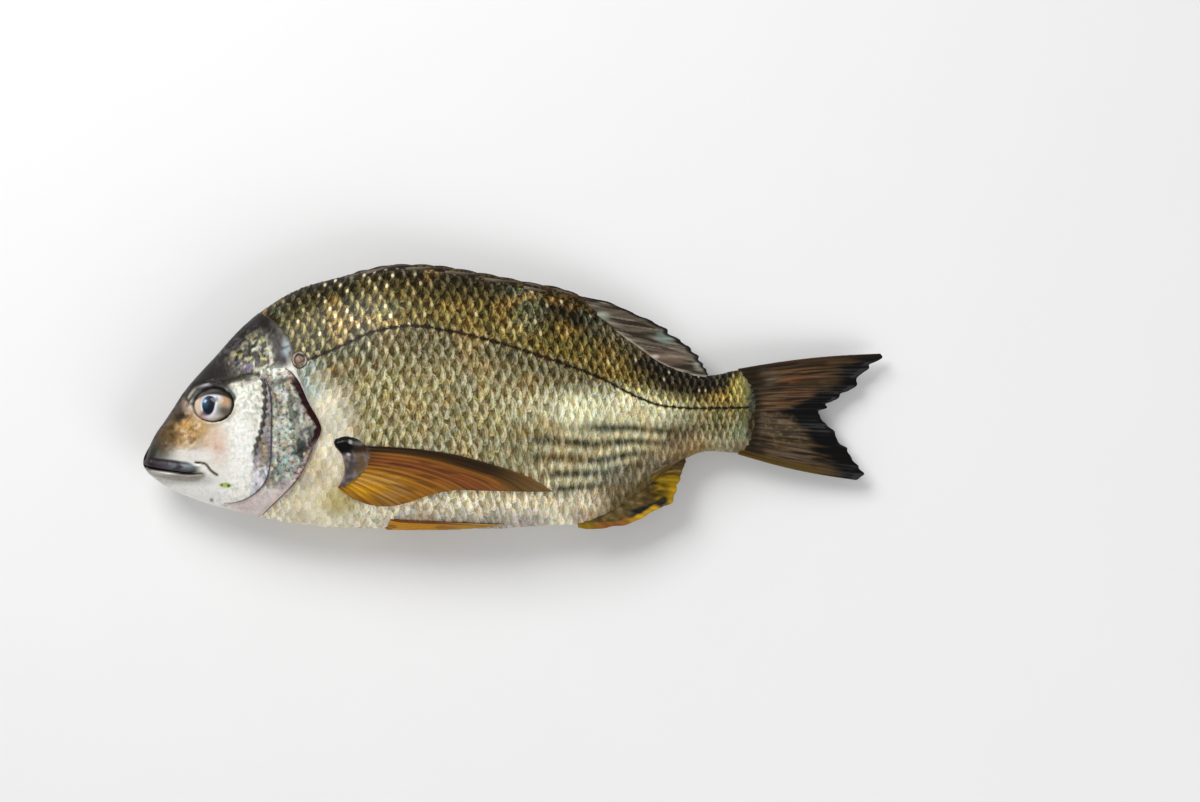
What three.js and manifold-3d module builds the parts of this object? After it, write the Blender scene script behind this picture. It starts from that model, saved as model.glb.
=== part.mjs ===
// A whole raw sea bream, 320 mm long, lying on its right side with its left side up.
// Millimetres. +X runs from the snout to the tail, +Y from the belly to the back, +Z up from the surface it lies on.
// The origin is under the middle of the fish, on that surface.
// Body, gill covers, lips and fins grow together, so they are one solid; each eyeball is a solid in its socket.
import * as THREE from "three";
import { mergeVertices } from "three/addons/utils/BufferGeometryUtils.js";
import Module from "manifold-3d";

const wasm = await Module();
wasm.setup();

// Driving sizes
const SNOUT_X = -160;
const BODY_END_X = 108;
const BODY_STATIONS = 50;
const RING_POINTS = 32;
const REST_HEIGHT = 19.8;
const TAIL_DROOP = 14;
const HEAD_DROOP = 1.5;
const SOCKET_GAP = 0.3;
const TOP_EDGE_SHARPNESS = 1.3;
const BELLY_EDGE_SHARPNESS = 1.06;

// How far the plates of the head stand out of the body
const PLATE_STEP = 0.1;
const COVER_FRONT_X = -127;
const COVER_SWELL = 1.4;
const COVER_FULL_X = -84;
const COVER_TOP_Y = 20;
const COVER_FULL_Y = 6;
const CHEEK_FRONT_X = -137;
const CHEEK_SWELL = 0.7;
const CHEEK_FULL_X = -106;
const BELOW_BELLY_Y = -70;

// Side profile: distance along the body, height of the back, height of the belly
const PROFILE = [
  [-160, -28.7, -28.7],
  [-157.4, -21.8, -33],
  [-154.8, -16.6, -35.4],
  [-149.6, -9.2, -39.1],
  [-142, 2.4, -42.7],
  [-129, 17, -47.2],
  [-116, 31, -50.4],
  [-103, 41, -53.6],
  [-90, 47.6, -55.6],
  [-77, 51.1, -56.8],
  [-64, 54.6, -57],
  [-51, 56.7, -57.1],
  [-38, 56.2, -57.2],
  [-12, 52.2, -57.2],
  [14, 46.2, -55.8],
  [27, 41.6, -55.2],
  [39.5, 32.8, -51.2],
  [50.3, 24.4, -44.7],
  [62, 16.2, -36],
  [74, 11.2, -27.2],
  [84, 9.2, -23.8],
  [96, 11.4, -24.6],
  [108, 13.4, -28.2],
];

// Half of the body's thickness along the body
const HALF_THICKNESS = [
  [-160, 0],
  [-157, 3.8],
  [-150, 7.2],
  [-140, 10.6],
  [-128, 13.6],
  [-110, 17],
  [-95, 19],
  [-80, 20.4],
  [-60, 21.2],
  [-40, 21],
  [-20, 20],
  [0, 18.2],
  [20, 15.6],
  [40, 12.8],
  [60, 10],
  [80, 7.4],
  [94, 5.6],
  [102, 3.6],
  [108, 1.1],
];

// A smooth curve through rows of a table that never overshoots them. The root keeps the snout blunt.
function tableCurve(rows, column) {
  const at = (x) => Math.sqrt(Math.max(0, x - SNOUT_X));
  const xs = rows.map((row) => at(row[0]));
  const ys = rows.map((row) => row[column]);
  const slopes = xs.slice(1).map((x, i) => (ys[i + 1] - ys[i]) / (x - xs[i]));
  const tangents = xs.map((_, i) => {
    if (i === 0) return slopes[0];
    if (i === xs.length - 1) return slopes[i - 1];
    const [before, after] = [slopes[i - 1], slopes[i]];
    return before * after <= 0 ? 0 : (2 * before * after) / (before + after);
  });
  return (x) => {
    const u = Math.min(Math.max(at(x), xs[0]), xs[xs.length - 1]);
    let i = 0;
    while (i < xs.length - 2 && u > xs[i + 1]) i += 1;
    const step = xs[i + 1] - xs[i];
    const t = (u - xs[i]) / step;
    const [t2, t3] = [t * t, t * t * t];
    return (
      ys[i] * (2 * t3 - 3 * t2 + 1) +
      ys[i + 1] * (3 * t2 - 2 * t3) +
      step * (tangents[i] * (t3 - 2 * t2 + t) + tangents[i + 1] * (t3 - t2))
    );
  };
}

const backAt = tableCurve(PROFILE, 1);
const bellyAt = tableCurve(PROFILE, 2);
const halfThicknessAt = tableCurve(HALF_THICKNESS, 1);
const smooth = (from, to, x) => THREE.MathUtils.smoothstep(x, from, to);
const mix = THREE.MathUtils.lerp;

// The height of the fish's middle plane above the surface it lies on: the limp tail and the snout hang a little.
function middleAt(x) {
  const tail = Math.max(0, (x - 5) / 155) ** 1.5;
  const head = Math.max(0, (-110 - x) / 50) ** 2;
  return REST_HEIGHT - TAIL_DROOP * tail - HEAD_DROOP * head;
}

// How thick one side is at a height y, measured from the middle plane.
function flankAt(x, y) {
  const [back, belly] = [backAt(x), bellyAt(x)];
  const s = THREE.MathUtils.clamp((2 * y - back - belly) / (back - belly), -1, 1);
  const sharpness = mix(BELLY_EDGE_SHARPNESS, TOP_EDGE_SHARPNESS, smooth(-0.6, 0.8, s));
  return halfThicknessAt(x) * (1 - s * s) ** (sharpness / 2);
}

// A closed solid from positions and triangles, with shared corners merged.
function solidFrom(positions, triangles) {
  const geometry = new THREE.BufferGeometry();
  geometry.setAttribute("position", new THREE.Float32BufferAttribute(positions, 3));
  geometry.setIndex(triangles);
  return solidOf(geometry);
}

function solidOf(geometry) {
  const bare = new THREE.BufferGeometry();
  const flat = geometry.index ? geometry.toNonIndexed() : geometry;
  bare.setAttribute("position", flat.getAttribute("position"));
  const merged = mergeVertices(bare, 1e-3);
  return new wasm.Manifold(
    new wasm.Mesh({
      numProp: 3,
      vertProperties: merged.attributes.position.array,
      triVerts: new Uint32Array(merged.index.array),
    }),
  );
}

// The body as rings round its middle plane. relief(x, y) swells each side of it.
function bodySolid(relief) {
  const positions = [];
  const triangles = [];
  const length = BODY_END_X - SNOUT_X;
  for (let i = 0; i <= BODY_STATIONS; i++) {
    const share = i / BODY_STATIONS;
    const x = SNOUT_X + length * (0.45 * share * share + 0.55 * share);
    const [back, belly, middle] = [backAt(x), bellyAt(x), middleAt(x)];
    for (let j = 0; j < RING_POINTS; j++) {
      const turn = (2 * Math.PI * j) / RING_POINTS;
      const y = (back + belly) / 2 - ((back - belly) / 2) * Math.cos(turn);
      const side = Math.abs(Math.sin(turn)) < 1e-9 ? 0 : Math.sign(Math.sin(turn));
      const thickness = i === 0 ? 0 : flankAt(x, y) + relief(x, y) * Math.abs(Math.sin(turn));
      positions.push(x, y, Math.max(0, middle + side * thickness));
    }
  }
  for (let i = 0; i < BODY_STATIONS; i++)
    for (let j = 0; j < RING_POINTS; j++) {
      const [a, b] = [i * RING_POINTS + j, i * RING_POINTS + ((j + 1) % RING_POINTS)];
      const [c, d] = [a + RING_POINTS, b + RING_POINTS];
      triangles.push(a, c, b, b, c, d);
    }
  const last = BODY_STATIONS * RING_POINTS;
  for (let j = 1; j < RING_POINTS - 1; j++) triangles.push(last, last + j + 1, last + j);
  return solidFrom(positions, triangles);
}

// Everything over and under a closed outline drawn on the side of the fish
const PRISM_LOW_Z = -20;
const PRISM_HEIGHT = 90;
function outlinePrism(points) {
  const shape = new THREE.Shape(points.map(([x, y]) => new THREE.Vector2(x, y)));
  const geometry = new THREE.ExtrudeGeometry(shape, { depth: PRISM_HEIGHT, bevelEnabled: false });
  geometry.translate(0, 0, PRISM_LOW_Z);
  return solidOf(geometry);
}

// The gill cover's free edge, from its top to the throat
const COVER_EDGE = [
  [-95.7, 13.2],
  [-92, 7],
  [-87.5, -3.2],
  [-83.6, -10],
  [-82.5, -14.8],
  [-85.5, -21.8],
  [-91.5, -34],
  [-98, -41.4],
  [-105, -48],
  [-109, -53],
];
const CHEEK_EDGE = [
  [-107, 8],
  [-104.2, -1.5],
  [-103.8, -18],
  [-104.8, -31],
  [-108.2, -39],
  [-115.5, -44.4],
  [-124.5, -47.4],
];

function edgeCurve(points) {
  const curve = new THREE.CatmullRomCurve3(points.map(([x, y]) => new THREE.Vector3(x, y, 0)));
  return curve.getPoints(points.length * 3).map((p) => [p.x, p.y]);
}

// Raised plates of the head: the gill cover swells towards its free edge, and the cheek lies on it.
function coverSwell(x, y) {
  const fall = 1 - smooth(COVER_FULL_Y, COVER_TOP_Y, y);
  return PLATE_STEP + COVER_SWELL * smooth(COVER_FRONT_X, COVER_FULL_X, x) * fall;
}

function cheekSwell(x, y) {
  return coverSwell(x, y) + PLATE_STEP + CHEEK_SWELL * smooth(CHEEK_FRONT_X, CHEEK_FULL_X, x);
}

function gillCover() {
  const front = [
    [-109, BELOW_BELLY_Y],
    [COVER_FRONT_X, BELOW_BELLY_Y],
    [COVER_FRONT_X, 13.2],
  ];
  return bodySolid(coverSwell).intersect(outlinePrism([...edgeCurve(COVER_EDGE), ...front]));
}

function cheek() {
  const front = [
    [-124.5, BELOW_BELLY_Y],
    [CHEEK_FRONT_X, BELOW_BELLY_Y],
    [CHEEK_FRONT_X, -24],
    [-124, -14],
    [-117, 2],
  ];
  return bodySolid(cheekSwell).intersect(outlinePrism([...edgeCurve(CHEEK_EDGE), ...front]));
}

// A rod along a line drawn on one side of the head, sunk so that part of it shows
function surfaceRod(points, radius, sunk, side) {
  const lift = ([x, y]) => new THREE.Vector3(x, y, middleAt(x) + side * (flankAt(x, y) - sunk));
  const path = new THREE.CatmullRomCurve3(points.map(lift));
  const section = new THREE.Shape();
  section.absarc(0, 0, radius, 0, 2 * Math.PI);
  const geometry = new THREE.ExtrudeGeometry(section, {
    steps: 8,
    curveSegments: 3,
    extrudePath: path,
    bevelEnabled: false,
  });
  return solidOf(geometry);
}

const UPPER_LIP = [
  [-158.6, -27.6],
  [-154, -28.6],
  [-146, -29.2],
  [-138, -31.6],
  [-131, -34.6],
];
const LOWER_LIP = [
  [-158.2, -31],
  [-153, -32.6],
  [-145, -34],
  [-136, -35.6],
];
const MOUTH_SLIT = [
  [-160.5, -29.4],
  [-154, -30.5],
  [-146, -31.6],
  [-138, -33.4],
  [-130, -36.2],
];

// One curve through points on the side of the fish, read by share of its length
const sideCurve = (points) =>
  new THREE.CatmullRomCurve3(points.map(([x, y]) => new THREE.Vector3(x, y, 0)), false, "centripetal");

// A fin in the middle plane: rays run from the root line to the edge line, each ray a low ridge.
function middleFin({ root, edge, rays, along, rootThickness, edgeThickness, ridge, wave }) {
  const [rootCurve, edgeCurveLine] = [sideCurve(root), sideCurve(edge)];
  const columns = 2 * rays;
  const point = (i, j, side) => {
    const [u, v] = [i / columns, j / along];
    const [from, to] = [rootCurve.getPointAt(u), edgeCurveLine.getPointAt(u)];
    const at = from.clone().lerp(to, v);
    const ray = i % 2 === 0 ? ridge * (1 - 0.6 * v) : 0;
    const thickness = mix(rootThickness, edgeThickness, v) / 2 + ray;
    const ripple = wave * v * v * Math.sin(u * Math.PI * 5);
    return [at.x, at.y, middleAt(at.x) + ripple + side * thickness];
  };
  return gridSolid(columns, along, point);
}

// A fin folded on the flank, its outer face a little above the skin and its inner face under it
function flankFin({ upper, lower, columns, across, thickness, lift, ridge, side }) {
  const [upperCurve, lowerCurve] = [sideCurve(upper), sideCurve(lower)];
  const point = (i, j, face) => {
    const [u, v] = [i / columns, j / across];
    const at = upperCurve.getPointAt(u).lerp(lowerCurve.getPointAt(u), v);
    const ray = j % 2 === 0 ? ridge : 0;
    const outer = flankAt(at.x, at.y) + lift * u + thickness + ray;
    const inner = flankAt(at.x, at.y) - thickness;
    const z = middleAt(at.x) + side * (face > 0 ? outer : inner);
    return [at.x, at.y, Math.max(0, z)];
  };
  return gridSolid(columns, across, point);
}

// A closed sheet from a grid of points with an outer and an inner face
function gridSolid(columns, rows, point) {
  const positions = [];
  const triangles = [];
  const index = (i, j, face) => (face > 0 ? 0 : (columns + 1) * (rows + 1)) + i * (rows + 1) + j;
  for (const face of [1, -1])
    for (let i = 0; i <= columns; i++)
      for (let j = 0; j <= rows; j++) positions.push(...point(i, j, face));
  const quad = (a, b, c, d) => triangles.push(a, b, c, a, c, d);
  for (let i = 0; i < columns; i++)
    for (let j = 0; j < rows; j++) {
      quad(index(i, j, 1), index(i + 1, j, 1), index(i + 1, j + 1, 1), index(i, j + 1, 1));
      quad(index(i, j + 1, -1), index(i + 1, j + 1, -1), index(i + 1, j, -1), index(i, j, -1));
    }
  for (let i = 0; i < columns; i++) {
    quad(index(i, 0, 1), index(i, 0, -1), index(i + 1, 0, -1), index(i + 1, 0, 1));
    quad(index(i + 1, rows, 1), index(i + 1, rows, -1), index(i, rows, -1), index(i, rows, 1));
  }
  for (let j = 0; j < rows; j++) {
    quad(index(0, j + 1, 1), index(0, j + 1, -1), index(0, j, -1), index(0, j, 1));
    quad(index(columns, j, 1), index(columns, j, -1), index(columns, j + 1, -1), index(columns, j + 1, 1));
  }
  let solid = solidFrom(positions, triangles);
  if (solid.volume() < 0) {
    for (let k = 0; k < triangles.length; k += 3)
      [triangles[k + 1], triangles[k + 2]] = [triangles[k + 2], triangles[k + 1]];
    solid = solidFrom(positions, triangles);
  }
  return solid;
}

const CAUDAL_FIN = {
  root: [
    [99, 12.2],
    [101, 6],
    [102, -3],
    [102, -12],
    [101, -20],
    [99, -25.4],
  ],
  edge: [
    [160, 17.6],
    [156, 11],
    [150.5, 6.6],
    [148, 2.6],
    [141, 0],
    [138, -4],
    [132.6, -6.8],
    [134.5, -11.6],
    [140, -17],
    [144, -20.6],
    [147, -27],
    [150.5, -32],
    [148.6, -36.2],
  ],
  rays: 15,
  along: 4,
  rootThickness: 4.6,
  edgeThickness: 1.3,
  ridge: 0.35,
  wave: 0.9,
};

const SOFT_DORSAL_FIN = {
  root: [
    [22, 40],
    [34, 33],
    [46, 25],
    [60, 13.5],
    [72, 8],
    [82, 5.4],
  ],
  edge: [
    [32, 43.4],
    [46, 38.8],
    [60, 32.8],
    [67.6, 28],
    [73, 23.4],
    [78, 19],
    [81.6, 14.2],
    [83.8, 10.4],
  ],
  rays: 11,
  along: 3,
  rootThickness: 3,
  edgeThickness: 1.2,
  ridge: 0.3,
  wave: 0.5,
};

const ANAL_FIN = {
  root: [
    [27, -52],
    [34, -49],
    [44, -44],
    [56, -36],
    [66, -28.6],
    [73.5, -24],
  ],
  edge: [
    [28, -56.6],
    [34, -57.6],
    [46, -56.4],
    [55, -53.4],
    [61.5, -49.6],
    [68, -46.8],
    [70.4, -42],
    [72.4, -35.4],
    [74.6, -28.4],
  ],
  rays: 9,
  along: 3,
  rootThickness: 3.2,
  edgeThickness: 1.3,
  ridge: 0.3,
  wave: 0.4,
};

// The spiny part of the back fin lies folded in its groove: a low crest, each spine resting on the next.
const SPINES = 11;
const SPINE_RADIUS = 1;
const SPINE_LENGTH = 23;
const SPINE_LOW = -1.3;
const SPINE_PROUD = -0.1;
const FIRST_SPINE_X = -72;
const LAST_SPINE_END_X = 36;
function foldedSpines() {
  const section = new THREE.Shape();
  section.absarc(0, 0, SPINE_RADIUS, 0, 2 * Math.PI);
  const rods = [];
  for (let k = 0; k < SPINES; k++) {
    const start = mix(FIRST_SPINE_X, LAST_SPINE_END_X - SPINE_LENGTH, k / (SPINES - 1));
    const offset = k % 2 ? 0.5 : -0.5;
    const along = (t) => {
      const x = start + SPINE_LENGTH * t;
      return new THREE.Vector3(x, backAt(x) + mix(SPINE_LOW, SPINE_PROUD, t), middleAt(x) + offset);
    };
    const extrudePath = new THREE.CatmullRomCurve3([0, 0.35, 0.7, 1].map(along));
    rods.push(
      solidOf(new THREE.ExtrudeGeometry(section, { steps: 3, curveSegments: 3, extrudePath, bevelEnabled: false })),
    );
  }
  return rods.reduce((crest, rod) => crest.add(rod));
}

const PECTORAL_FIN = {
  upper: [
    [-76, -21],
    [-62, -21.6],
    [-42, -22.6],
    [-20, -26.8],
    [-2, -31.6],
    [9, -36.6],
    [17, -40.8],
  ],
  lower: [
    [-75.6, -39.6],
    [-66, -45],
    [-54, -46.8],
    [-42, -44.6],
    [-26, -40.2],
    [-8, -39.8],
    [5, -40.6],
    [17, -41.4],
  ],
  columns: 12,
  across: 6,
  thickness: 0.9,
  lift: 1.2,
  ridge: 0.25,
};

const PELVIC_FIN = {
  upper: [
    [-56, -53.2],
    [-44, -53.4],
    [-28, -53.8],
    [-12, -54.6],
    [-6, -55.2],
  ],
  lower: [
    [-56, -56.2],
    [-44, -56.9],
    [-28, -57],
    [-12, -56.9],
    [-6, -56.6],
  ],
  columns: 8,
  across: 2,
  thickness: 1,
  lift: 0.4,
  ridge: 0,
};

// Eyeball: a flattened ball set square to the cheek
const EYE_CENTRE = [-130.2, -3.8];
const EYE_HALF_LENGTH = 9.5;
const EYE_HALF_HEIGHT = 7.5;
const EYE_HALF_DEPTH = 4.2;
const EYE_SUNK = 2;

function eyeGeometry(side, extra) {
  const [x, y] = EYE_CENTRE;
  const reach = EYE_HALF_HEIGHT;
  const depth = (px, py) => middleAt(px) + side * flankAt(px, py);
  const slopeX = (depth(x + reach, y) - depth(x - reach, y)) / (2 * reach);
  const slopeY = (depth(x, y + reach) - depth(x, y - reach)) / (2 * reach);
  const outward = new THREE.Vector3(-slopeX, -slopeY, 1).normalize().multiplyScalar(side);
  const geometry = new THREE.SphereGeometry(1, 18, 10);
  geometry.rotateX(Math.PI / 2);
  geometry.scale(EYE_HALF_LENGTH + extra, EYE_HALF_HEIGHT + extra, EYE_HALF_DEPTH + extra);
  const turn = new THREE.Quaternion().setFromUnitVectors(new THREE.Vector3(0, 0, side), outward);
  geometry.applyQuaternion(turn);
  const centre = new THREE.Vector3(x, y, depth(x, y)).addScaledVector(outward, -EYE_SUNK);
  geometry.translate(centre.x, centre.y, centre.z);
  return geometry;
}

const LIP_RADIUS = 1.7;
const LIP_SUNK = 0.9;
const SLIT_RADIUS = 0.55;
const SLIT_PROUD = 0.1;

function fishSolid() {
  let fish = bodySolid(() => 0).add(gillCover()).add(cheek());
  for (const side of [1, -1]) {
    fish = fish.add(surfaceRod(UPPER_LIP, LIP_RADIUS, LIP_SUNK, side));
    fish = fish.add(surfaceRod(LOWER_LIP, LIP_RADIUS, LIP_SUNK, side));
    fish = fish.subtract(surfaceRod(MOUTH_SLIT, SLIT_RADIUS, -SLIT_PROUD, side));
    fish = fish.add(flankFin({ ...PECTORAL_FIN, side }));
    fish = fish.add(flankFin({ ...PELVIC_FIN, side }));
    fish = fish.subtract(solidOf(eyeGeometry(side, SOCKET_GAP)));
  }
  for (const fin of [CAUDAL_FIN, SOFT_DORSAL_FIN, ANAL_FIN]) fish = fish.add(middleFin(fin));
  fish = fish.add(foldedSpines());
  const parts = fish.decompose().sort((a, b) => b.volume() - a.volume());
  return parts[0];
}

function meshFrom(solid, name, material) {
  const { vertProperties, triVerts, numProp } = solid.getMesh();
  const positions = [];
  for (let i = 0; i < vertProperties.length; i += numProp)
    positions.push(vertProperties[i], vertProperties[i + 1], vertProperties[i + 2]);
  const geometry = new THREE.BufferGeometry();
  geometry.setAttribute("position", new THREE.Float32BufferAttribute(positions, 3));
  geometry.setIndex(Array.from(triVerts));
  geometry.computeVertexNormals();
  const mesh = new THREE.Mesh(geometry, material);
  mesh.name = name;
  return mesh;
}

const skin = new THREE.MeshStandardMaterial({ color: 0x8e8767, roughness: 0.35, metalness: 0.25 });
const eyeball = new THREE.MeshStandardMaterial({ color: 0x1b2026, roughness: 0.1, metalness: 0 });

const part = new THREE.Group();
part.add(meshFrom(fishSolid(), "fish", skin));
part.add(meshFrom(solidOf(eyeGeometry(1, 0)), "eye_left", eyeball));
part.add(meshFrom(solidOf(eyeGeometry(-1, 0)), "eye_right", eyeball));

export default part;
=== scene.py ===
"""A whole raw sea bream that lies on its side: scaled skin, head plates, eyes and fins.

Tables hold millimetres: x from the snout to the tail, y from the belly to the back.
"""

import bmesh
import bpy
import numpy as np
from bpy.props import FloatProperty, FloatVectorProperty, PointerProperty
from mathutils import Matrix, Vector


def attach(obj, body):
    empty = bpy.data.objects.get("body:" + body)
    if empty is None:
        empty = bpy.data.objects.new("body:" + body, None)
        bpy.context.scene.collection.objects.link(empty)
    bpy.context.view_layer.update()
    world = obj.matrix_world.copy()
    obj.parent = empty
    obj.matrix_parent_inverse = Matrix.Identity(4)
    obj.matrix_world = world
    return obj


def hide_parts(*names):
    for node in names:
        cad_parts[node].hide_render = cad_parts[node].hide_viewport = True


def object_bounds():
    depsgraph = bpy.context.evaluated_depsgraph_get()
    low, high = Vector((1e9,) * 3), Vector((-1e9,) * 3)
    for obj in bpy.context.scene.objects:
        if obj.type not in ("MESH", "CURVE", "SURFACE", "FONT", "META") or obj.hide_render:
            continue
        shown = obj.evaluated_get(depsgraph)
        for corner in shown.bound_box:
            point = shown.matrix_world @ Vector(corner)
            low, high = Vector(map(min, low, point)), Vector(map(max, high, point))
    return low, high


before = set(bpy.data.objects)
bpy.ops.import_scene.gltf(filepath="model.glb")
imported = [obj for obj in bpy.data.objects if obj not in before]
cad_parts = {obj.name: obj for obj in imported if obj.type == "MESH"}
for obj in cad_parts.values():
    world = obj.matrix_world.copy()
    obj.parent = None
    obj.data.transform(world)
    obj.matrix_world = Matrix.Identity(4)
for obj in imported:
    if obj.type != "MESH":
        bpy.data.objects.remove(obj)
CAD_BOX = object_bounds()

bl_info = {
    "name": "Raw sea bream",
    "version": (1, 0, 0),
    "blender": (4, 5, 0),
    "location": "3D View > Sidebar > Fish",
    "description": "Builds a whole raw sea bream with its scales, head plates, eyes and fins",
    "category": "Add Mesh",
}

MM = 0.001
BOX_MARGIN = 0.005
SIDES = {"left": 1, "right": -1}
SCALE_SEEDS = {"left": 7, "right": 8}

# The body, as the solid has it
SNOUT_X = -160.0
BODY_END_X = 108.0
REST_HEIGHT = 19.8
TAIL_DROOP = 14.0
HEAD_DROOP = 1.5
CONTACT = 0.3
TOP_SHARPNESS = 1.3
BELLY_SHARPNESS = 1.06

# Side profile: x, height of the back, height of the belly
PROFILE = [
    (-160, -28.7, -28.7),
    (-157.4, -21.8, -33),
    (-154.8, -16.6, -35.4),
    (-149.6, -9.2, -39.1),
    (-142, 2.4, -42.7),
    (-129, 17, -47.2),
    (-116, 31, -50.4),
    (-103, 41, -53.6),
    (-90, 47.6, -55.6),
    (-77, 51.1, -56.8),
    (-64, 54.6, -57),
    (-51, 56.7, -57.1),
    (-38, 56.2, -57.2),
    (-12, 52.2, -57.2),
    (14, 46.2, -55.8),
    (27, 41.6, -55.2),
    (39.5, 32.8, -51.2),
    (50.3, 24.4, -44.7),
    (62, 16.2, -36),
    (74, 11.2, -27.2),
    (84, 9.2, -23.8),
    (96, 11.4, -24.6),
    (108, 13.4, -28.2),
]

# Half of the body's thickness along the body
HALF_THICKNESS = [
    (-160, 0),
    (-157, 3.8),
    (-150, 7.2),
    (-140, 10.6),
    (-128, 13.6),
    (-110, 17),
    (-95, 19),
    (-80, 20.4),
    (-60, 21.2),
    (-40, 21),
    (-20, 20),
    (0, 18.2),
    (20, 15.6),
    (40, 12.8),
    (60, 10),
    (80, 7.4),
    (94, 5.6),
    (102, 3.6),
    (108, 1.1),
]

# The lateral line, from the shoulder to the tail
LATERAL_LINE = [
    (-112, 10),
    (-100, 12.6),
    (-92.2, 14.9),
    (-83.6, 17.5),
    (-72.8, 22.2),
    (-62, 27),
    (-51.2, 29.8),
    (-40.4, 30.4),
    (-27.4, 28.3),
    (-14.5, 25.3),
    (-1.5, 21.8),
    (11.4, 17.5),
    (24.4, 13.2),
    (37.4, 8),
    (46, 3.7),
    (54.6, -0.6),
    (63.3, -3.7),
    (76.2, -5),
    (89.2, -5),
    (108, -4.5),
]

# Scales: x, their pitch along the body, the spacing of their rows
SCALE_SIZES = [
    (-125, 3.4, 3.6),
    (-100, 4.2, 4.4),
    (-60, 4.9, 5.0),
    (0, 4.7, 4.9),
    (20, 4.3, 4.7),
    (40, 3.9, 4.3),
    (63, 3.5, 3.9),
    (85, 3.1, 3.7),
    (108, 2.8, 3.4),
]

# Rows of scales, and a scale's front and rear end in pitches from its place
LOWEST_ROW = -19
HIGHEST_ROW = 15
FIRST_SCALE_X = -125
LAST_SCALE_X = 105
LAST_PORE_X = 100.5
SCALE_FRONT = -1.3
SCALE_REAR = 0.55
UNDER_SCALES_SHADE = 0.6

# Lines of the head, drawn on its side
COVER_EDGE = [
    (-97.5, 12.4),
    (-95.7, 11),
    (-92, 6.4),
    (-87.5, -3.2),
    (-83.6, -10),
    (-82.5, -14.8),
    (-85.5, -21.8),
    (-91.5, -34),
    (-98, -41.4),
    (-105, -48),
    (-109, -52.4),
]
COVER_INNER = [
    (-108.5, 12),
    (-109, 6),
    (-108, -2),
    (-107.5, -10),
    (-107.5, -18),
    (-108, -24),
    (-109.5, -31),
    (-112, -38),
    (-117, -43),
    (-122, -46),
    (-126, -47),
]
CHEEK_EDGE = [
    (-107.4, 9.6),
    (-104.6, 4),
    (-103.6, -4),
    (-103.6, -18),
    (-104.6, -31),
    (-108.2, -39),
    (-115.5, -44.2),
    (-124.5, -46.6),
]
CHEEK_INNER = [
    (-116, 9.2),
    (-117, 4),
    (-118, -4),
    (-120, -16),
    (-122, -26),
    (-124, -33),
    (-127, -38),
    (-131, -41),
]
CHEEK_GROOVE = [
    (-109.6, 9.4),
    (-107.4, 7.1),
    (-106.4, 0.6),
    (-106.8, -6.7),
    (-107.9, -13.2),
    (-109.7, -18.8),
    (-111, -22.7),
    (-112.3, -28.3),
]
TEMPLE_LINE = [(-125.9, 5.8), (-121.6, 6.7), (-116, 8.4), (-111.2, 9.3), (-107.4, 8.4)]
NAPE_LINE = [(-113, 34.6), (-107.6, 31.2), (-103.6, 26.6), (-100.8, 21), (-99.3, 15.3)]
MOUTH_LINE = [(-160.4, -29.9), (-154.8, -31.2), (-148.3, -32.3), (-141.4, -33.2), (-134.4, -33.4)]
UPPER_LIP = [(-159.6, -28.6), (-154, -29.3), (-147, -30), (-140, -31), (-133.4, -31.6)]
LOWER_LIP = [(-158.6, -31.6), (-152.4, -33.6), (-144.6, -35), (-136, -35.4)]
MAXILLA_LINE = [(-137, -28.4), (-132.8, -29.1), (-130.4, -31.8), (-127.6, -33.9)]
BROW_LINE = [(-140, -0.5), (-137, 3.2), (-132, 4.9), (-127.6, 5.0), (-123.4, 3.2), (-120.6, -0.6)]
SCALED_FROM = [
    (-118, 37.5),
    (-108.5, 36),
    (-100.8, 30.4),
    (-97, 25.3),
    (-95, 20),
    (-93.4, 10),
    (-88, -3),
    (-84, -14),
]

# Eyes
EYE_CENTRE = (-129.3, -3.4)
EYE_HALF = (9.5, 7.5, 4.2)
EYE_SUNK = 2.0
EYE_OPENING = (8.9, 7.35)
PUPIL_CENTRE = (-1.3, -0.6)
PUPIL_HALF = (2.75, 3.8)

# Dark stripes along the lower rear flank, and the pale beaded rows between them
STRIPES = [
    [(26, -12.6), (37.4, -13.6), (50.3, -13.6), (63.3, -14.9), (76.2, -15.8), (86, -15.8)],
    [(0, -18), (17.9, -19.2), (37.4, -20.5), (50.3, -19.2), (69.7, -20.5), (82, -19.8)],
    [(2, -26), (17.9, -26.6), (38.7, -27.4), (50.3, -24.8), (62, -23.8)],
    [(9.3, -33.9), (24.4, -33.5), (37.4, -33), (50.3, -30), (58, -27.8)],
    [(14, -40), (24.4, -39.5), (37.4, -38.2), (46, -36.6)],
]
PALE_ROWS = [
    [(14, -15.9), (37.4, -17), (50.3, -16.6), (63.3, -17.5), (80.5, -17.9)],
    [(4, -22.4), (24.4, -23.1), (37.4, -24), (50.3, -22.2), (69.7, -23.1), (87, -20.5)],
    [(8, -30), (24.4, -30), (37.4, -30.2), (50.3, -27.6), (60, -26)],
    [(12, -36.9), (31, -36.1), (42, -35)],
]
BEAD_PITCH = 4.1

# Where the scales end in front of the yellow rear of the anal fin
SHEATH_LINE = [(58.6, -46), (59.2, -38), (59.6, -33), (66, -30), (74, -26.6)]

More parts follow.
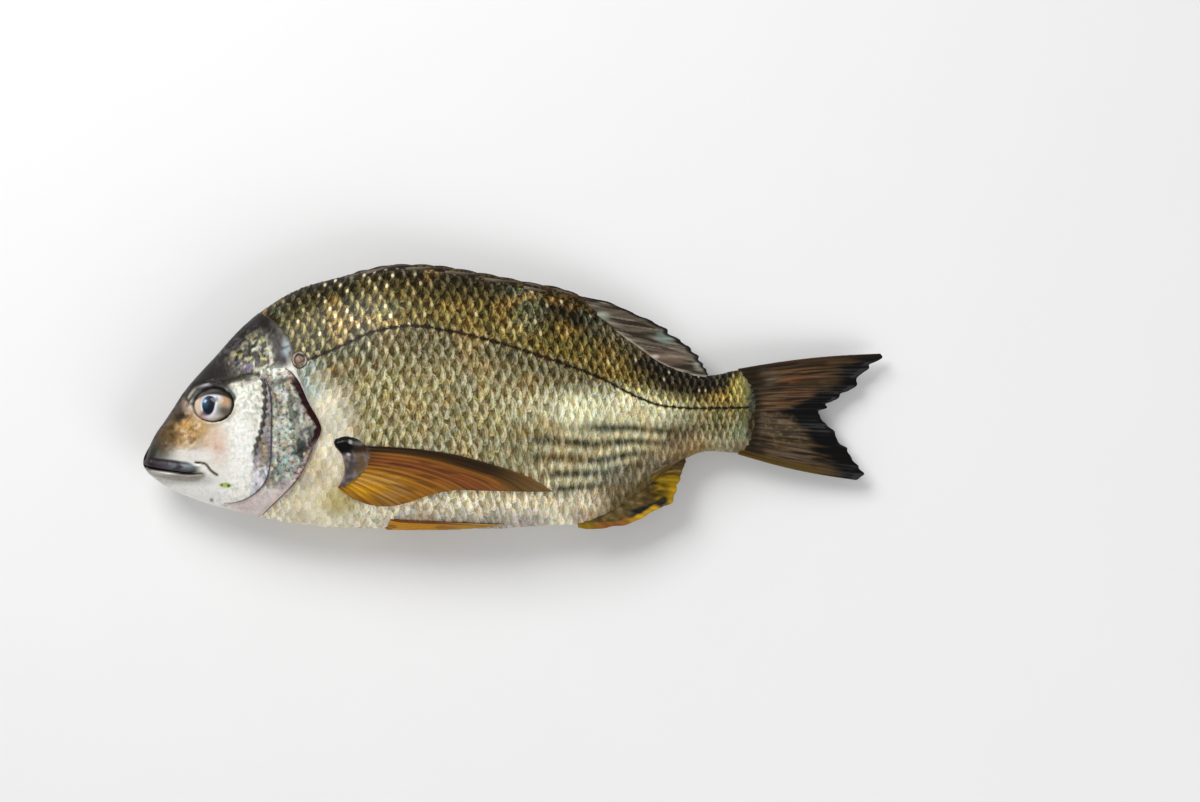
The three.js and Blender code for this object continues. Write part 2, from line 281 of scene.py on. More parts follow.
# Fins: the line where each grows from the body, and its free edge
CAUDAL_ROOT = [(97, 12.0), (100, 6), (101, -3), (101, -12), (100, -20), (97, -25.0)]
CAUDAL_EDGE = [
    (158.8, 18.6),
    (159.7, 16.6),
    (155.7, 14),
    (153, 10.9),
    (149.8, 8.6),
    (149.2, 4.8),
    (145.6, 2.4),
    (141.9, 1),
    (140.6, -1.4),
    (135.9, -3.1),
    (136.2, -4.8),
    (132.8, -6.4),
    (132.8, -8.4),
    (135.6, -12),
    (139.7, -15.3),
    (141.4, -19.6),
    (145.4, -22.9),
    (147, -26.2),
    (149.6, -29.9),
    (152.4, -33.6),
    (148.4, -36.2),
]
DORSAL_ROOT = [(22, 40), (34, 35), (43.8, 28.3), (54.6, 20.6), (65, 13.4), (76, 9.4), (83, 8.4)]
DORSAL_EDGE = [
    (30, 44),
    (34, 43.2),
    (40.4, 41.6),
    (46.9, 38.9),
    (53.6, 35.9),
    (60.2, 33),
    (67.2, 29),
    (73.2, 24.8),
    (79.7, 19),
    (83.6, 13),
    (84.4, 9.6),
]
ANAL_ROOT = [(27, -52), (34, -49), (44, -44), (56, -36), (66, -28.6), (73.5, -24)]
ANAL_EDGE = [
    (28, -56.6),
    (34, -57.4),
    (46, -56.2),
    (55, -53.4),
    (61.5, -49.6),
    (68, -46.8),
    (70.4, -42),
    (72.4, -35.4),
    (74.6, -28.4),
]
PECTORAL_ROOT = [(-72.6, -20.9), (-71.6, -27), (-72, -33), (-74.9, -39.7)]
PECTORAL_TOP = [(-72.6, -20.9), (-53.3, -21.6), (-36.1, -23.1), (-18.8, -26.4), (5, -33.9), (17.1, -40.8)]
BASE_FRONT = [(-77.4, -19.8), (-76.8, -22.4), (-73.6, -26), (-72.8, -33), (-75.8, -40)]
BASE_REAR = [(-62, -20.6), (-60.5, -23), (-59.5, -27), (-64.5, -34.6), (-74.4, -40.4)]
WEDGE_LINE = [(46, -51.6), (53, -50), (60, -47.8), (65, -44.8)]
PECTORAL_EDGE = [
    (17.1, -40.8),
    (2.8, -40.7),
    (-10.1, -40.3),
    (-25.3, -40),
    (-36.1, -42.1),
    (-44.7, -45.1),
    (-52.5, -46.9),
    (-61.1, -46.4),
    (-68.4, -43.8),
]
SPINES = 11
SPINE_LENGTH = 23
FIRST_SPINE_X = -72
LAST_SPINE_END_X = 36


# Curves and the shape of the body


def smooth(low, high, x):
    t = np.clip((np.asarray(x, float) - low) / (high - low), 0, 1)
    return t * t * (3 - 2 * t)


def bell(distance, width):
    return np.exp(-((distance / width) ** 2))


def table_curve(rows, column, rooted=True):
    """Reads one column of a table at any x, by a smooth curve that never overshoots its rows."""
    scale = np.sqrt if rooted else np.asarray
    at = scale(np.array([row[0] for row in rows], float) - rows[0][0])
    value = np.array([row[column] for row in rows], float)
    slope = np.diff(value) / np.diff(at)
    tangent = np.concatenate([slope[:1], np.zeros(len(slope) - 1), slope[-1:]])
    product = slope[:-1] * slope[1:]
    total = np.where(product > 0, slope[:-1] + slope[1:], 1)
    tangent[1:-1] = np.where(product > 0, 2 * product / total, 0)

    def read(x):
        u = np.clip(scale(np.maximum(np.asarray(x, float) - rows[0][0], 0)), at[0], at[-1])
        i = np.clip(np.searchsorted(at, u) - 1, 0, len(at) - 2)
        step = at[i + 1] - at[i]
        t = (u - at[i]) / step
        rise = 3 * t**2 - 2 * t**3
        bend = tangent[i] * (t**3 - 2 * t**2 + t) + tangent[i + 1] * (t**3 - t**2)
        return value[i] + (value[i + 1] - value[i]) * rise + step * bend

    return read


back_at = table_curve(PROFILE, 1)
belly_at = table_curve(PROFILE, 2)
half_thickness_at = table_curve(HALF_THICKNESS, 1)
line_y_at = table_curve(LATERAL_LINE, 1, rooted=False)
pitch_at = table_curve(SCALE_SIZES, 1, rooted=False)
spacing_at = table_curve(SCALE_SIZES, 2, rooted=False)


def middle_at(x):
    """Height of the fish's middle plane: the limp tail and the snout hang a little."""
    tail = np.maximum(0, (np.asarray(x, float) - 5) / 155) ** 1.5
    head = np.maximum(0, (-110 - np.asarray(x, float)) / 50) ** 2
    return REST_HEIGHT - TAIL_DROOP * tail - HEAD_DROOP * head


def section(x, turn):
    """Height and half thickness at x, turned from the belly (0) to the back (pi)."""
    back, belly = back_at(x), belly_at(x)
    s = -np.cos(turn)
    sharpness = BELLY_SHARPNESS + (TOP_SHARPNESS - BELLY_SHARPNESS) * smooth(-0.6, 0.8, s)
    y = (back + belly) / 2 + s * (back - belly) / 2
    return y, half_thickness_at(x) * np.abs(np.sin(turn)) ** sharpness


def turn_of(x, y):
    """The turn at which the section at x has the height y."""
    back, belly = back_at(x), belly_at(x)
    return np.arccos(np.clip((back + belly - 2 * y) / (back - belly), -1, 1))


def settle(z):
    """Presses what would be under the table flat on it, and keeps its order."""
    return CONTACT * np.logaddexp(0, z / CONTACT)


def skin(x, turn, side, lift=0.0):
    """Points on one side of the body, lift above the skin."""
    x, turn, lift = np.broadcast_arrays(np.asarray(x, float), turn, lift)

    def place(px, pturn):
        y, half = section(px, pturn)
        return np.stack([px, y, middle_at(px) + side * half], -1)

    inner = np.clip(turn, 0.03, np.pi - 0.03)
    along = place(x + 0.2, inner) - place(x - 0.2, inner)
    round_body = place(x, inner + 0.01) - place(x, inner - 0.01)
    normal = side * np.cross(along, round_body)
    normal /= np.maximum(np.linalg.norm(normal, axis=-1, keepdims=True), 1e-12)
    point = place(x, turn) + normal * lift[..., None]
    point[..., 2] = settle(point[..., 2])
    return point


class ArcTable:
    """Length along the section, from the belly to the back, at any x."""

    def __init__(self, stations=240, steps=180):
        self.x = np.linspace(SNOUT_X + 0.5, BODY_END_X, stations)
        turn = np.linspace(0, np.pi, steps)
        y, half = section(self.x[:, None], turn[None, :])
        step = np.hypot(np.diff(y, axis=1), np.diff(half, axis=1))
        arc = np.concatenate([np.zeros((stations, 1)), np.cumsum(step, axis=1)], axis=1)
        self.length = arc[:, -1]
        share = np.linspace(0, 1, steps)
        self.turns = np.array([np.interp(share * row[-1], row, turn) for row in arc])
        line = turn_of(self.x, line_y_at(self.x))
        self.line = np.array([np.interp(t, turn, row) for t, row in zip(line, arc)])

    def total(self, x):
        return np.interp(x, self.x, self.length)

    def line_at(self, x):
        return np.interp(x, self.x, self.line)

    def turn(self, x, arc):
        steps = self.turns.shape[1]
        fx = np.clip((x - self.x[0]) / (self.x[1] - self.x[0]), 0, len(self.x) - 1.001)
        fa = np.clip(arc / self.total(x), 0, 1) * (steps - 1.001)
        i, j = fx.astype(int), fa.astype(int)
        u, v = fx - i, fa - j
        lower = self.turns[i, j] * (1 - v) + self.turns[i, j + 1] * v
        upper = self.turns[i + 1, j] * (1 - v) + self.turns[i + 1, j + 1] * v
        return lower * (1 - u) + upper * u


ARCS = ArcTable()


def path(points, steps_each=12):
    """A curve through points, read by share of its length."""
    p = np.array(points, float)
    ends = [2 * p[0] - p[1], *p, 2 * p[-1] - p[-2]]
    run = []
    for a, b, c, d in zip(ends, ends[1:], ends[2:], ends[3:]):
        t = np.linspace(0, 1, steps_each, endpoint=False)[:, None]
        bend = (2 * a - 5 * b + 4 * c - d) * t**2 + (3 * b - a - 3 * c + d) * t**3
        run.append((2 * b + (c - a) * t + bend) / 2)
    run = np.concatenate([*run, p[-1:]])
    length = np.concatenate([[0], np.cumsum(np.linalg.norm(np.diff(run, axis=0), axis=1))])
    length /= length[-1]
    return lambda share: np.stack([np.interp(share, length, run[:, k]) for k in range(run.shape[1])], -1)


def distance_to(points, x, y):
    """Distance in the side view from each (x, y) to a drawn line, and the share of it that is nearest."""
    line = path(points)(np.linspace(0, 1, 60))
    best = np.full(np.shape(x), 1e9)
    share = np.zeros(np.shape(x))
    for k, (a, b) in enumerate(zip(line, line[1:])):
        along = b - a
        t = ((x - a[0]) * along[0] + (y - a[1]) * along[1]) / (along @ along)
        t = np.clip(t, 0, 1)
        gap = np.hypot(x - a[0] - t * along[0], y - a[1] - t * along[1])
        nearer = gap < best
        best = np.where(nearer, gap, best)
        share = np.where(nearer, (k + t) / (len(line) - 1), share)
    return best, share


def x_on(points, y):
    """Where a drawn line is at the height y."""
    p = np.array(sorted(points, key=lambda q: q[1]), float)
    return np.interp(y, p[:, 1], p[:, 0])


class Noise:
    """Seeded value noise over the side view, from -1 to 1."""

    SIZE = 61

    def __init__(self, seed):
        self.grid = np.random.default_rng(seed).random((self.SIZE, self.SIZE)) * 2 - 1

    def __call__(self, x, y, size):
        x, y = np.asarray(x) / size, np.asarray(y) / size
        u = 0.8 * x - 0.6 * y + 0.45 * np.sin(1.9 * y + 0.7 * x) + 500.5
        v = 0.6 * x + 0.8 * y + 0.45 * np.sin(1.7 * x - 0.9 * y) + 500.5
        i, j = np.floor(u).astype(int), np.floor(v).astype(int)
        fu, fv = smooth(0, 1, u - i), smooth(0, 1, v - j)

        def corner(a, b):
            return self.grid[(i + a) % self.SIZE, (j + b) % self.SIZE]

        low = corner(0, 0) * (1 - fu) + corner(1, 0) * fu
        high = corner(0, 1) * (1 - fu) + corner(1, 1) * fu
        return low * (1 - fv) + high * fv


# Colours


def rgb(red, green, blue):
    """A colour as a screen shows it, 0 to 255, turned to linear light."""
    c = np.array([red, green, blue], float) / 255
    return np.where(c <= 0.04045, c / 12.92, ((c + 0.055) / 1.055) ** 2.4)


def patch(x, y, centre, half, edge=0.5):
    """1 inside an oval, falling to 0 outside it."""
    r = np.hypot((x - centre[0]) / half[0], (y - centre[1]) / half[1])
    return smooth(1 + edge, 1 - edge, r)


class Coat:
    """Colour on points at (x, y), laid wash over wash."""

    def __init__(self, x, y, base):
        self.x, self.y = np.broadcast_arrays(x, y)
        self.colour = np.broadcast_to(rgb(*base), (*self.x.shape, 3)).copy()

    def blend(self, colour, amount):
        """Lays colours in linear light over the points, as far as amount says."""
        amount = np.clip(np.broadcast_to(amount, self.x.shape), 0, 1)[..., None]
        self.colour += (colour - self.colour) * amount

    def wash(self, colour, amount):
        """Lays one colour, as a screen shows it, over the points."""
        self.blend(rgb(*colour), amount)

    def spot(self, colour, amount, centre, half, edge):
        """Lays one colour on an oval with a soft edge."""
        self.wash(colour, amount * patch(self.x, self.y, centre, half, edge))


def flank_coat(x, y):
    """Colours of the scaled body, from the olive back to the silver belly."""
    back, belly = back_at(x), belly_at(x)
    height = (y - belly) / np.maximum(back - belly, 1)
    line = line_y_at(x)
    large, middling = Noise(3), Noise(5)
    coat = Coat(x, y, (164, 154, 115))
    coat.wash((106, 97, 65), smooth(-26, -3, y - line))
    coat.wash((104, 92, 48), smooth(-3, 3, y - line))
    coat.wash((86, 80, 48), 0.9 * smooth(-50, -72, x) * smooth(8, 20, y))
    coat.wash((80, 70, 30), smooth(6, 18, y - line) * smooth(-66, -40, x))
    coat.wash((34, 27, 10), 0.95 * smooth(0.86, 0.99, height))
    # Painted sheen: a bright silver patch on the mid flank, the scales' own silver brightened where the wet
    # skin catches the light.
    coat.spot((236, 234, 200), 0.95, (42, -6), (36, 9), 0.6)
    coat.wash((168, 160, 128), smooth(0.4, 0.25, height))
    coat.wash((244, 236, 212), smooth(0.26, 0.08, height))
    coat.spot((252, 244, 222), 0.95, (-79, -16), (11, 20), 0.5)
    coat.spot((234, 224, 198), 0.95, (-86, -38), (14, 14), 0.5)
    coat.spot((180, 198, 200), 0.7, (-88, 6), (7, 9), 0.6)
    coat.spot((206, 188, 128), 0.9, (-75, -45), (8, 6), 0.6)
    coat.wash((112, 104, 58), smooth(62, 88, x) * 0.8)
    coat.wash((16, 12, 3), 0.95 * smooth(45, 75, x) * smooth(0.66, 0.84, height))
    under_fin, _ = distance_to(DORSAL_ROOT, x, y)
    coat.wash((30, 22, 4), 0.92 * smooth(13, 4, under_fin + 3 * middling(x, y, 4)) * smooth(4, 18, x))
    # Painted shadow: a black line on the back just under the soft back fin's root.
    coat.wash((18, 14, 7), 0.95 * smooth(3.6, 1.4, under_fin) * smooth(30, 40, x))
    coat.spot((132, 126, 96), 0.6, (46, -27), (44, 15), 0.6)
    for stripe in STRIPES:
        gap, share = distance_to(stripe, x, y)
        ends = smooth(0, 0.18, share) * smooth(1, 0.82, share)
        coat.wash((50, 49, 31), 0.93 * bell(gap, 1.7 + 0.4 * middling(x, y, 5)) * ends)
    for row in PALE_ROWS:
        gap, share = distance_to(row, x, y)
        ends = smooth(0, 0.14, share) * smooth(1, 0.86, share)
        beads = 0.5 + 0.5 * np.cos(2 * np.pi * x / BEAD_PITCH)
        coat.wash((240, 232, 194), 0.9 * bell(gap, 1.4) * ends * (0.4 + 0.6 * beads))
    coat.spot((170, 160, 98), 0.9, (99, 3.5), (5, 6), 0.7)
    coat.spot((126, 134, 100), 0.8, (98.5, -15), (5, 5), 0.7)
    coat.wash((56, 46, 22), 0.8 * smooth(7, 11, y) * smooth(88, 96, x))
    coat.spot((92, 70, 40), 0.8, (99, -22), (4, 3), 0.5)
    coat.wash((52, 40, 14), smooth(99.8, 102.8, x + 2.0 * middling(x, y, 2.4)))
    sheath, _ = distance_to(ANAL_ROOT, x, y)
    near_fin = smooth(14, 6, sheath + 2 * middling(x, y, 5)) * smooth(30, 44, x)
    coat.wash((84, 62, 14), 0.94 * near_fin)
    coat.spot((96, 80, 34), 0.6, (50, -38), (12, 8), 0.7)
    coat.spot((160, 124, 104), 0.6, (31, -52), (6, 3), 0.6)
    # Painted shade: grey along the lowest edge of the belly, where it curves away from the light.
    coat.wash((168, 156, 158), 0.85 * smooth(0.11, 0.0, height) * smooth(24, 6, x) * smooth(-70, -40, x))
    coat.wash((120, 136, 128), 0.25 * smooth(0.1, 0.8, large(x, y, 14)))
    coat.wash((184, 148, 84), 0.3 * smooth(0.1, 0.8, middling(x, y, 9)))
    return coat


def yellow_rays(coat, x, y, amount):
    """Lays the anal fin's yellow rays with dark streaks behind the dark line where its scales end."""
    streak = Noise(66)
    gap, _ = distance_to(SHEATH_LINE, x, y)
    run = x * 0.2 + y * 0.05
    coat.wash((166, 132, 8), amount)
    dark = smooth(-0.1, 0.4, streak(run, y, 1.2)) * smooth(12, 3, gap)
    coat.wash((66, 56, 8), 0.9 * amount * dark)
    coat.wash((206, 158, 12), 0.8 * amount * smooth(7, 11, gap))
    boundary = smooth(4.2, 1.2, gap + 1.6 * streak(run, y, 1.3))
    coat.wash((74, 54, 18), 0.9 * boundary * np.maximum(amount, 0.75))


def behind_sheath(x, y):
    """1 on the bare yellow part of the anal fin, 0 on its scaled sheath and the body."""
    p = np.array(SHEATH_LINE, float)
    upper = np.interp(x, p[2:, 0], p[2:, 1])
    front = np.interp(y, p[:3, 1], p[:3, 0])
    return smooth(-0.5, 0.8, x - front) * smooth(0.8, -0.5, y - upper)


def round_eye_at(x, y):
    """Distance from the eye's middle, 1 on the edge of its opening."""
    return np.hypot((x - EYE_CENTRE[0]) / EYE_OPENING[0], (y - EYE_CENTRE[1]) / EYE_OPENING[1])


def head_coat(x, y):
    """Colours of the bare head: dark forehead, golden snout, silver cheek, mottled gill cover."""
    back = back_at(x)
    depth = back - y
    fine, middling, broad = Noise(11), Noise(12), Noise(13)
    coat = Coat(x, y, (244, 243, 235))
    speckle = smooth(0.2, 0.6, fine(x, y, 1.3))
    coat.wash((150, 160, 128), 0.5 * speckle * smooth(-128, -118, x))
    upper_cheek = patch(x, y, (-112, -4), (9, 14), 0.6) * smooth(-0.1, 0.5, middling(x, y, 1.4))
    coat.wash((160, 164, 140), 0.75 * upper_cheek)
    coat.spot((252, 252, 247), 0.8, (-116, -22), (6, 17), 0.6)
    snout = smooth(-132, -140, x)
    golden = patch(x, y, (-142.5, -14.5), (13.5, 9), 0.5)
    coat.wash((176, 142, 92), 0.95 * golden)
    coat.spot((196, 154, 88), 0.6, (-138, -12.5), (8, 4), 0.6)
    along, over = 0.8 * x + 0.6 * y, 0.8 * y - 0.6 * x
    coat.wash((236, 212, 176), 0.75 * smooth(0.1, 0.55, middling(along * 0.6, over, 1.9)) * golden)
    coat.wash((122, 90, 50), 0.7 * smooth(0.1, 0.55, broad(along * 0.6, over, 1.8)) * golden)
    coat.spot((226, 194, 168), 0.7, (-127.5, -21), (4.5, 8), 0.7)
    coat.spot((196, 140, 110), 0.5 * smooth(-0.1, 0.5, broad(x, y, 2)), (-130, -23), (4, 4), 0.7)
    coat.wash((58, 46, 26), 0.96 * smooth(13, 8, depth + 3 * fine(x, y, 2.2)) * snout)
    coat.spot((104, 86, 52), 0.85 * smooth(-0.8, 0.1, middling(x, y, 2.2)), (-148.5, -15), (4.5, 6), 0.6)
    coat.spot((236, 232, 226), 0.85, (-138, -25.6), (12, 2.8), 0.5)
    dark = smooth(10.4 - 7.8 * snout, 3.8 - 2.4 * snout, depth + (2.5 - 1.9 * snout) * broad(x, y, 6))
    temple_zone = smooth(36, 26, depth) * smooth(3, 8, y + 3 * broad(x, y, 4))
    coat.wash((70, 67, 56), 0.96 * temple_zone)
    fleck = patch(x, y, (-113, 19), (11, 11), 0.4)
    coat.spot((206, 208, 192), 0.85 * smooth(0.0, 0.45, middling(x, y, 1.7)), (-109, 17), (8, 10), 0.5)
    coat.wash((164, 164, 146), 0.8 * smooth(0.1, 0.5, middling(x, y, 1.6)) * fleck)
    coat.wash((24, 24, 20), 0.95 * smooth(-0.05, 0.3, broad(x, y, 1.7)) * fleck)
    coat.wash((190, 184, 122), 0.7 * smooth(0.4, 0.65, fine(x, y, 1.1)) * fleck)
    coat.spot((126, 118, 144), 0.6 * smooth(-0.5, 0.3, fine(x, y, 2)), (-118, 12.5), (6, 2.6), 0.6)
    coat.wash((24, 20, 19), dark)
    coat.wash((84, 74, 84), 0.6 * smooth(0.15, 0.55, fine(x, y, 1.6)) * dark)
    coat.spot((60, 62, 48), 0.9, (-154.6, -24.4), (7.6, 4.8), 0.7)
    coat.spot((86, 58, 28), 0.85 * smooth(-0.5, 0.3, middling(x, y, 2)), (-150, -18), (4.4, 5.4), 0.7)
    coat.spot((50, 46, 46), 0.95, (-158.4, -24), (3.6, 6), 0.5)
    coat.spot((30, 26, 24), 0.95, (-131, 9.5), (12, 5), 0.5)
    nape, _ = distance_to(NAPE_LINE, x, y)
    coat.wash((30, 19, 18), 0.97 * bell(nape + 1.2 * fine(x, y, 2.2), 3.2))
    coat.spot((150, 164, 170), 0.75 * smooth(-0.8, 0.1, fine(x, y, 1.8)), (-97.6, 21), (2.2, 3.8), 0.6)
    temple, _ = distance_to(TEMPLE_LINE, x, y)
    coat.wash((44, 42, 30), 0.9 * smooth(1.6, 0.5, temple + 0.7 * fine(x, y, 1.6)))
    jaw = smooth(-33.4, -36, y) * smooth(-126, -134, x)
    coat.wash((220, 220, 214), jaw)
    coat.wash((244, 243, 238), smooth(-36, -40, y) * smooth(-118, -126, x))
    # Painted shade: grey just below the lips.
    coat.spot((146, 142, 136), 0.5, (-144, -34.6), (13, 2.8), 0.8)
    coat.spot((222, 200, 194), 0.85, (-109, -50), (14, 5), 0.6)
    upper, share = distance_to(UPPER_LIP, x, y)
    lip = smooth(3.1, 2.0, upper * (1 + 1.3 * smooth(0.7, 1, share))) * smooth(1.0, 0.84, share)
    coat.wash((64, 60, 68), lip)
    coat.wash((44, 36, 38), 0.9 * lip * smooth(0.42, 0.2, share))
    coat.spot((84, 70, 80), 0.5 * lip, (-151, -29.4), (3, 1.6), 0.7)
    coat.wash((24, 22, 26), 0.85 * bell(upper - 2.1, 0.6) * smooth(-30.8, -27.6, y) * smooth(0.9, 0.6, share))
    # Painted highlight: a pale blue-grey streak along the middle of the upper lip.
    sheen = patch(x, y, (-142.4, -30.4), (5.6, 1.5), 0.7) * smooth(-0.6, 0.2, fine(x * 0.5, y, 1.4))
    coat.wash((126, 138, 142), 0.7 * sheen)
    lower, _ = distance_to(LOWER_LIP, x, y)
    coat.wash((150, 144, 136), 0.7 * smooth(1.8, 0.6, lower))
    mouth, share = distance_to(MOUTH_LINE, x, y)
    # Painted shade: a soft grey-brown band just under the mouth line.
    coat.wash((112, 100, 90), 0.75 * smooth(3.0, 0.8, mouth) * smooth(-32.4, -33.6, y - 0.06 * (x + 140)))
    coat.wash((20, 18, 20), smooth(0.9, 0.25, mouth) * smooth(1.0, 0.8, share))
    maxilla, _ = distance_to(MAXILLA_LINE, x, y)
    coat.wash((52, 40, 30), smooth(0.8, 0.25, maxilla))
    coat.spot((160, 190, 40), 0.85, (-123.9, -38.2), (2.8, 1.0), 0.3)
    coat.spot((40, 60, 20), 0.9, (-122.6, -38.4), (0.7, 0.6), 0.4)
    coat.spot((40, 50, 20), 0.8, (-125.6, -38.1), (0.5, 0.6), 0.4)
    coat.spot((92, 96, 90), 0.7, (-130.2, -44.7), (0.9, 0.9), 0.4)
    coat.spot((36, 24, 16), 0.9, (-143, -8.8), (3, 1.1), 0.5)
    coat.spot((150, 126, 112), 0.8, (-141.4, -3.6), (1.6, 3), 0.5)
    round_eye = round_eye_at(x, y)
    coat.wash((176, 160, 140), 0.7 * bell(round_eye - 1.12, 0.07) * smooth(4, -6, y - EYE_CENTRE[1]))
    brow, share = distance_to(BROW_LINE, x, y)
    coat.wash((28, 25, 26), 0.92 * smooth(2.6, 0.9, brow))
    # Painted highlight: a thin pale line along the brow ridge over the eye.
    brow_highlight = smooth(0.8, 0.2, np.abs(brow - 0.2)) * smooth(-0.5, 0.1, fine(x, y, 2.2))
    coat.wash((190, 184, 190), 0.85 * brow_highlight * smooth(0.2, 0.45, share))
    coat.wash((186, 178, 160), 0.7 * brow_highlight * smooth(0.28, 0.1, share))
    coat.wash((70, 58, 48), smooth(1.05, 0.99, round_eye))
    return coat


def head_mottle(x, y):
    """How strongly the skin is mottled: most on the forehead and nape, least on the jaw."""
    amount = 0.12 + 0.75 * patch(x, y, (-114, 18), (12, 14), 0.4)
    amount += 0.4 * patch(x, y, (-143, -14), (9, 8), 0.5) + 0.25 * patch(x, y, (-112, -14), (9, 24), 0.5)
    return np.clip(amount, 0, 1)


def cover_mottle(x, y):
    return 0.95 - 0.7 * smooth(-33, -43, y)


def cheek_mottle(x, y):
    return 0.25 + 0.5 * smooth(-0.4, 0.8, x - x_on(CHEEK_GROOVE, y)) * smooth(-38, -28, y)


def cover_coat(x, y):
    """Colours of the gill cover: mottled grey, green and violet with a dark rim."""
    fine, middling, broad = Noise(21), Noise(22), Noise(23)
    coat = Coat(x, y, (190, 191, 179))
    coat.wash((206, 214, 208), 0.75 * smooth(-0.1, 0.6, middling(x, y * 0.6, 2.1)))
    coat.wash((84, 88, 78), 0.75 * smooth(-0.1, 0.6, fine(x, y * 0.5, 1.7)))
    coat.wash((148, 136, 160), 0.5 * smooth(0.0, 0.6, broad(x, y * 0.7, 3)))
    coat.wash((150, 128, 100), 0.4 * smooth(0.0, 0.6, broad(x + 30, y * 0.7, 2.6)))
    teal = patch(x, y, (-97, -23), (4.5, 10), 0.6) * smooth(-0.5, 0.4, broad(x, y, 2.2))
    coat.wash((172, 204, 204), 0.6 * teal)
    rear = patch(x, y, (-89.5, -22), (4, 8), 0.6) * smooth(-0.6, 0.2, fine(x, y * 0.7, 2))
    coat.wash((30, 34, 34), 0.92 * rear)
    shade = patch(x, y, (-97, 2), (7, 9), 0.5) * smooth(-0.6, 0.3, broad(x, y * 0.7, 2))
    coat.wash((50, 50, 42), 0.7 * shade)
    coat.wash((228, 214, 210), smooth(-35, -43, y) * 0.85)
    edge, share = distance_to(COVER_EDGE, x, y)
    upper = smooth(0.03, 0.1, share) * smooth(0.56, 0.44, share)
    coat.wash((206, 186, 184), 0.8 * bell(edge - 1.4, 0.7) * (1 - upper))
    coat.wash((40, 12, 16), smooth(3.4, 2.0, edge + 0.7 * fine(x, y, 2)) * upper)
    coat.wash((96, 72, 74), 0.9 * smooth(0.9, 0.3, edge) * (1 - upper))
    return coat


def cheek_coat(x, y):
    """Colours of the cheek's plate: the head's own, then a grey violet band behind a dark toothed line."""
    coat = head_coat(x, y)
    fine, broad = Noise(32), Noise(31)
    line = x_on(CHEEK_GROOVE, y)
    behind = smooth(-0.4, 0.8, x - line)
    coat.wash((150, 148, 152), behind * smooth(-32, -26, y) * 0.95)
    coat.wash((222, 220, 230), behind * smooth(-26, -34, y) * 0.9)
    coat.spot((186, 160, 104), 0.7 * behind, (-107.6, -24), (1.6, 6), 0.6)
    coat.wash((96, 92, 84), behind * 0.6 * smooth(0.1, 0.5, fine(x, y * 0.5, 1.1)))
    coat.wash((122, 118, 132), 0.4 * behind * smooth(0, 0.5, broad(x, y * 0.5, 2.2)))
    groove, share = distance_to(CHEEK_GROOVE, x, y)
    teeth = 0.4 * np.sin(share * 75) + 0.3 * fine(x, y, 1.4)
    coat.wash((34, 32, 22), smooth(1.3, 0.6, groove + teeth) * smooth(0.98, 0.85, share) * 0.9)
    edge, _ = distance_to(CHEEK_EDGE, x, y)
    coat.wash((70, 62, 70), 0.9 * smooth(0.8, 0.3, edge))
    return coat


# Meshes


def make_mesh(name, points, faces, attributes=None, colour=None):
    """A mesh object from points in millimetres and rows of four corners each, kept in the part's box."""
    low, high = (np.array(corner) / MM for corner in CAD_BOX)
    points = np.clip(np.asarray(points, float).reshape(-1, 3), low + BOX_MARGIN, high - BOX_MARGIN)
    faces = np.asarray(faces, int).reshape(-1, 4)
    mesh = bpy.data.meshes.new(name)
    mesh.vertices.add(len(points))
    mesh.vertices.foreach_set("co", (points * MM).astype(np.float32).ravel())
    mesh.loops.add(faces.size)
    mesh.loops.foreach_set("vertex_index", faces.astype(np.int32).ravel())
    mesh.polygons.add(len(faces))
    mesh.polygons.foreach_set("loop_start", np.arange(0, faces.size, 4, dtype=np.int32))
    mesh.polygons.foreach_set("use_smooth", np.ones(len(faces), bool))
    for key, values in (attributes or {}).items():
        layer = mesh.attributes.new(key, "FLOAT", "POINT")
        layer.data.foreach_set("value", np.asarray(values, np.float32).ravel())
    if colour is not None:
        layer = mesh.attributes.new("Paint", "FLOAT_COLOR", "POINT")
        rgba = np.ones((len(points), 4), np.float32)
        rgba[:, :3] = np.asarray(colour).reshape(-1, 3)
        layer.data.foreach_set("color", rgba.ravel())
    mesh.update(calc_edges=True)
    mesh.validate()
    obj = bpy.data.objects.new(name, mesh)
    bpy.context.collection.objects.link(obj)
    return obj


def grid_faces(rows, columns, start=0, flip=False, wrap=False):
    """Quads over a grid of rows by columns points; wrap joins the last column to the first."""
    i, j = np.meshgrid(np.arange(rows - 1), np.arange(columns if wrap else columns - 1), indexing="ij")
    after = (j + 1) % columns
    this_row, next_row = start + i * columns, start + (i + 1) * columns
    quads = np.stack([this_row + j, next_row + j, next_row + after, this_row + after], -1).reshape(-1, 4)
    return quads[:, ::-1] if flip else quads


def closed_sheet(outer, inner):
    """Points and quads of a thin body between two grids of the same size."""
    rows, columns = outer.shape[:2]
    count = rows * columns
    faces = [grid_faces(rows, columns), grid_faces(rows, columns, count, flip=True)]
    index = np.arange(count).reshape(rows, columns)
    for line, turned in ((index[0], False), (index[-1], True), (index[:, 0], True), (index[:, -1], False)):
        quads = np.stack([line[:-1], line[1:], line[1:] + count, line[:-1] + count], -1)
        faces.append(quads[:, ::-1] if turned else quads)
    points = np.concatenate([outer.reshape(-1, 3), inner.reshape(-1, 3)])
    return points, np.concatenate(faces)


def place_piece(obj, material, stands_for=("fish",)):
    """Gives a piece its material, and lets it ride with the fish in place of its solid."""
    obj.data.materials.clear()
    obj.data.materials.append(material)
    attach(obj, "root")
    if stands_for:
        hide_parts(*stands_for)
    return obj


# Shaders


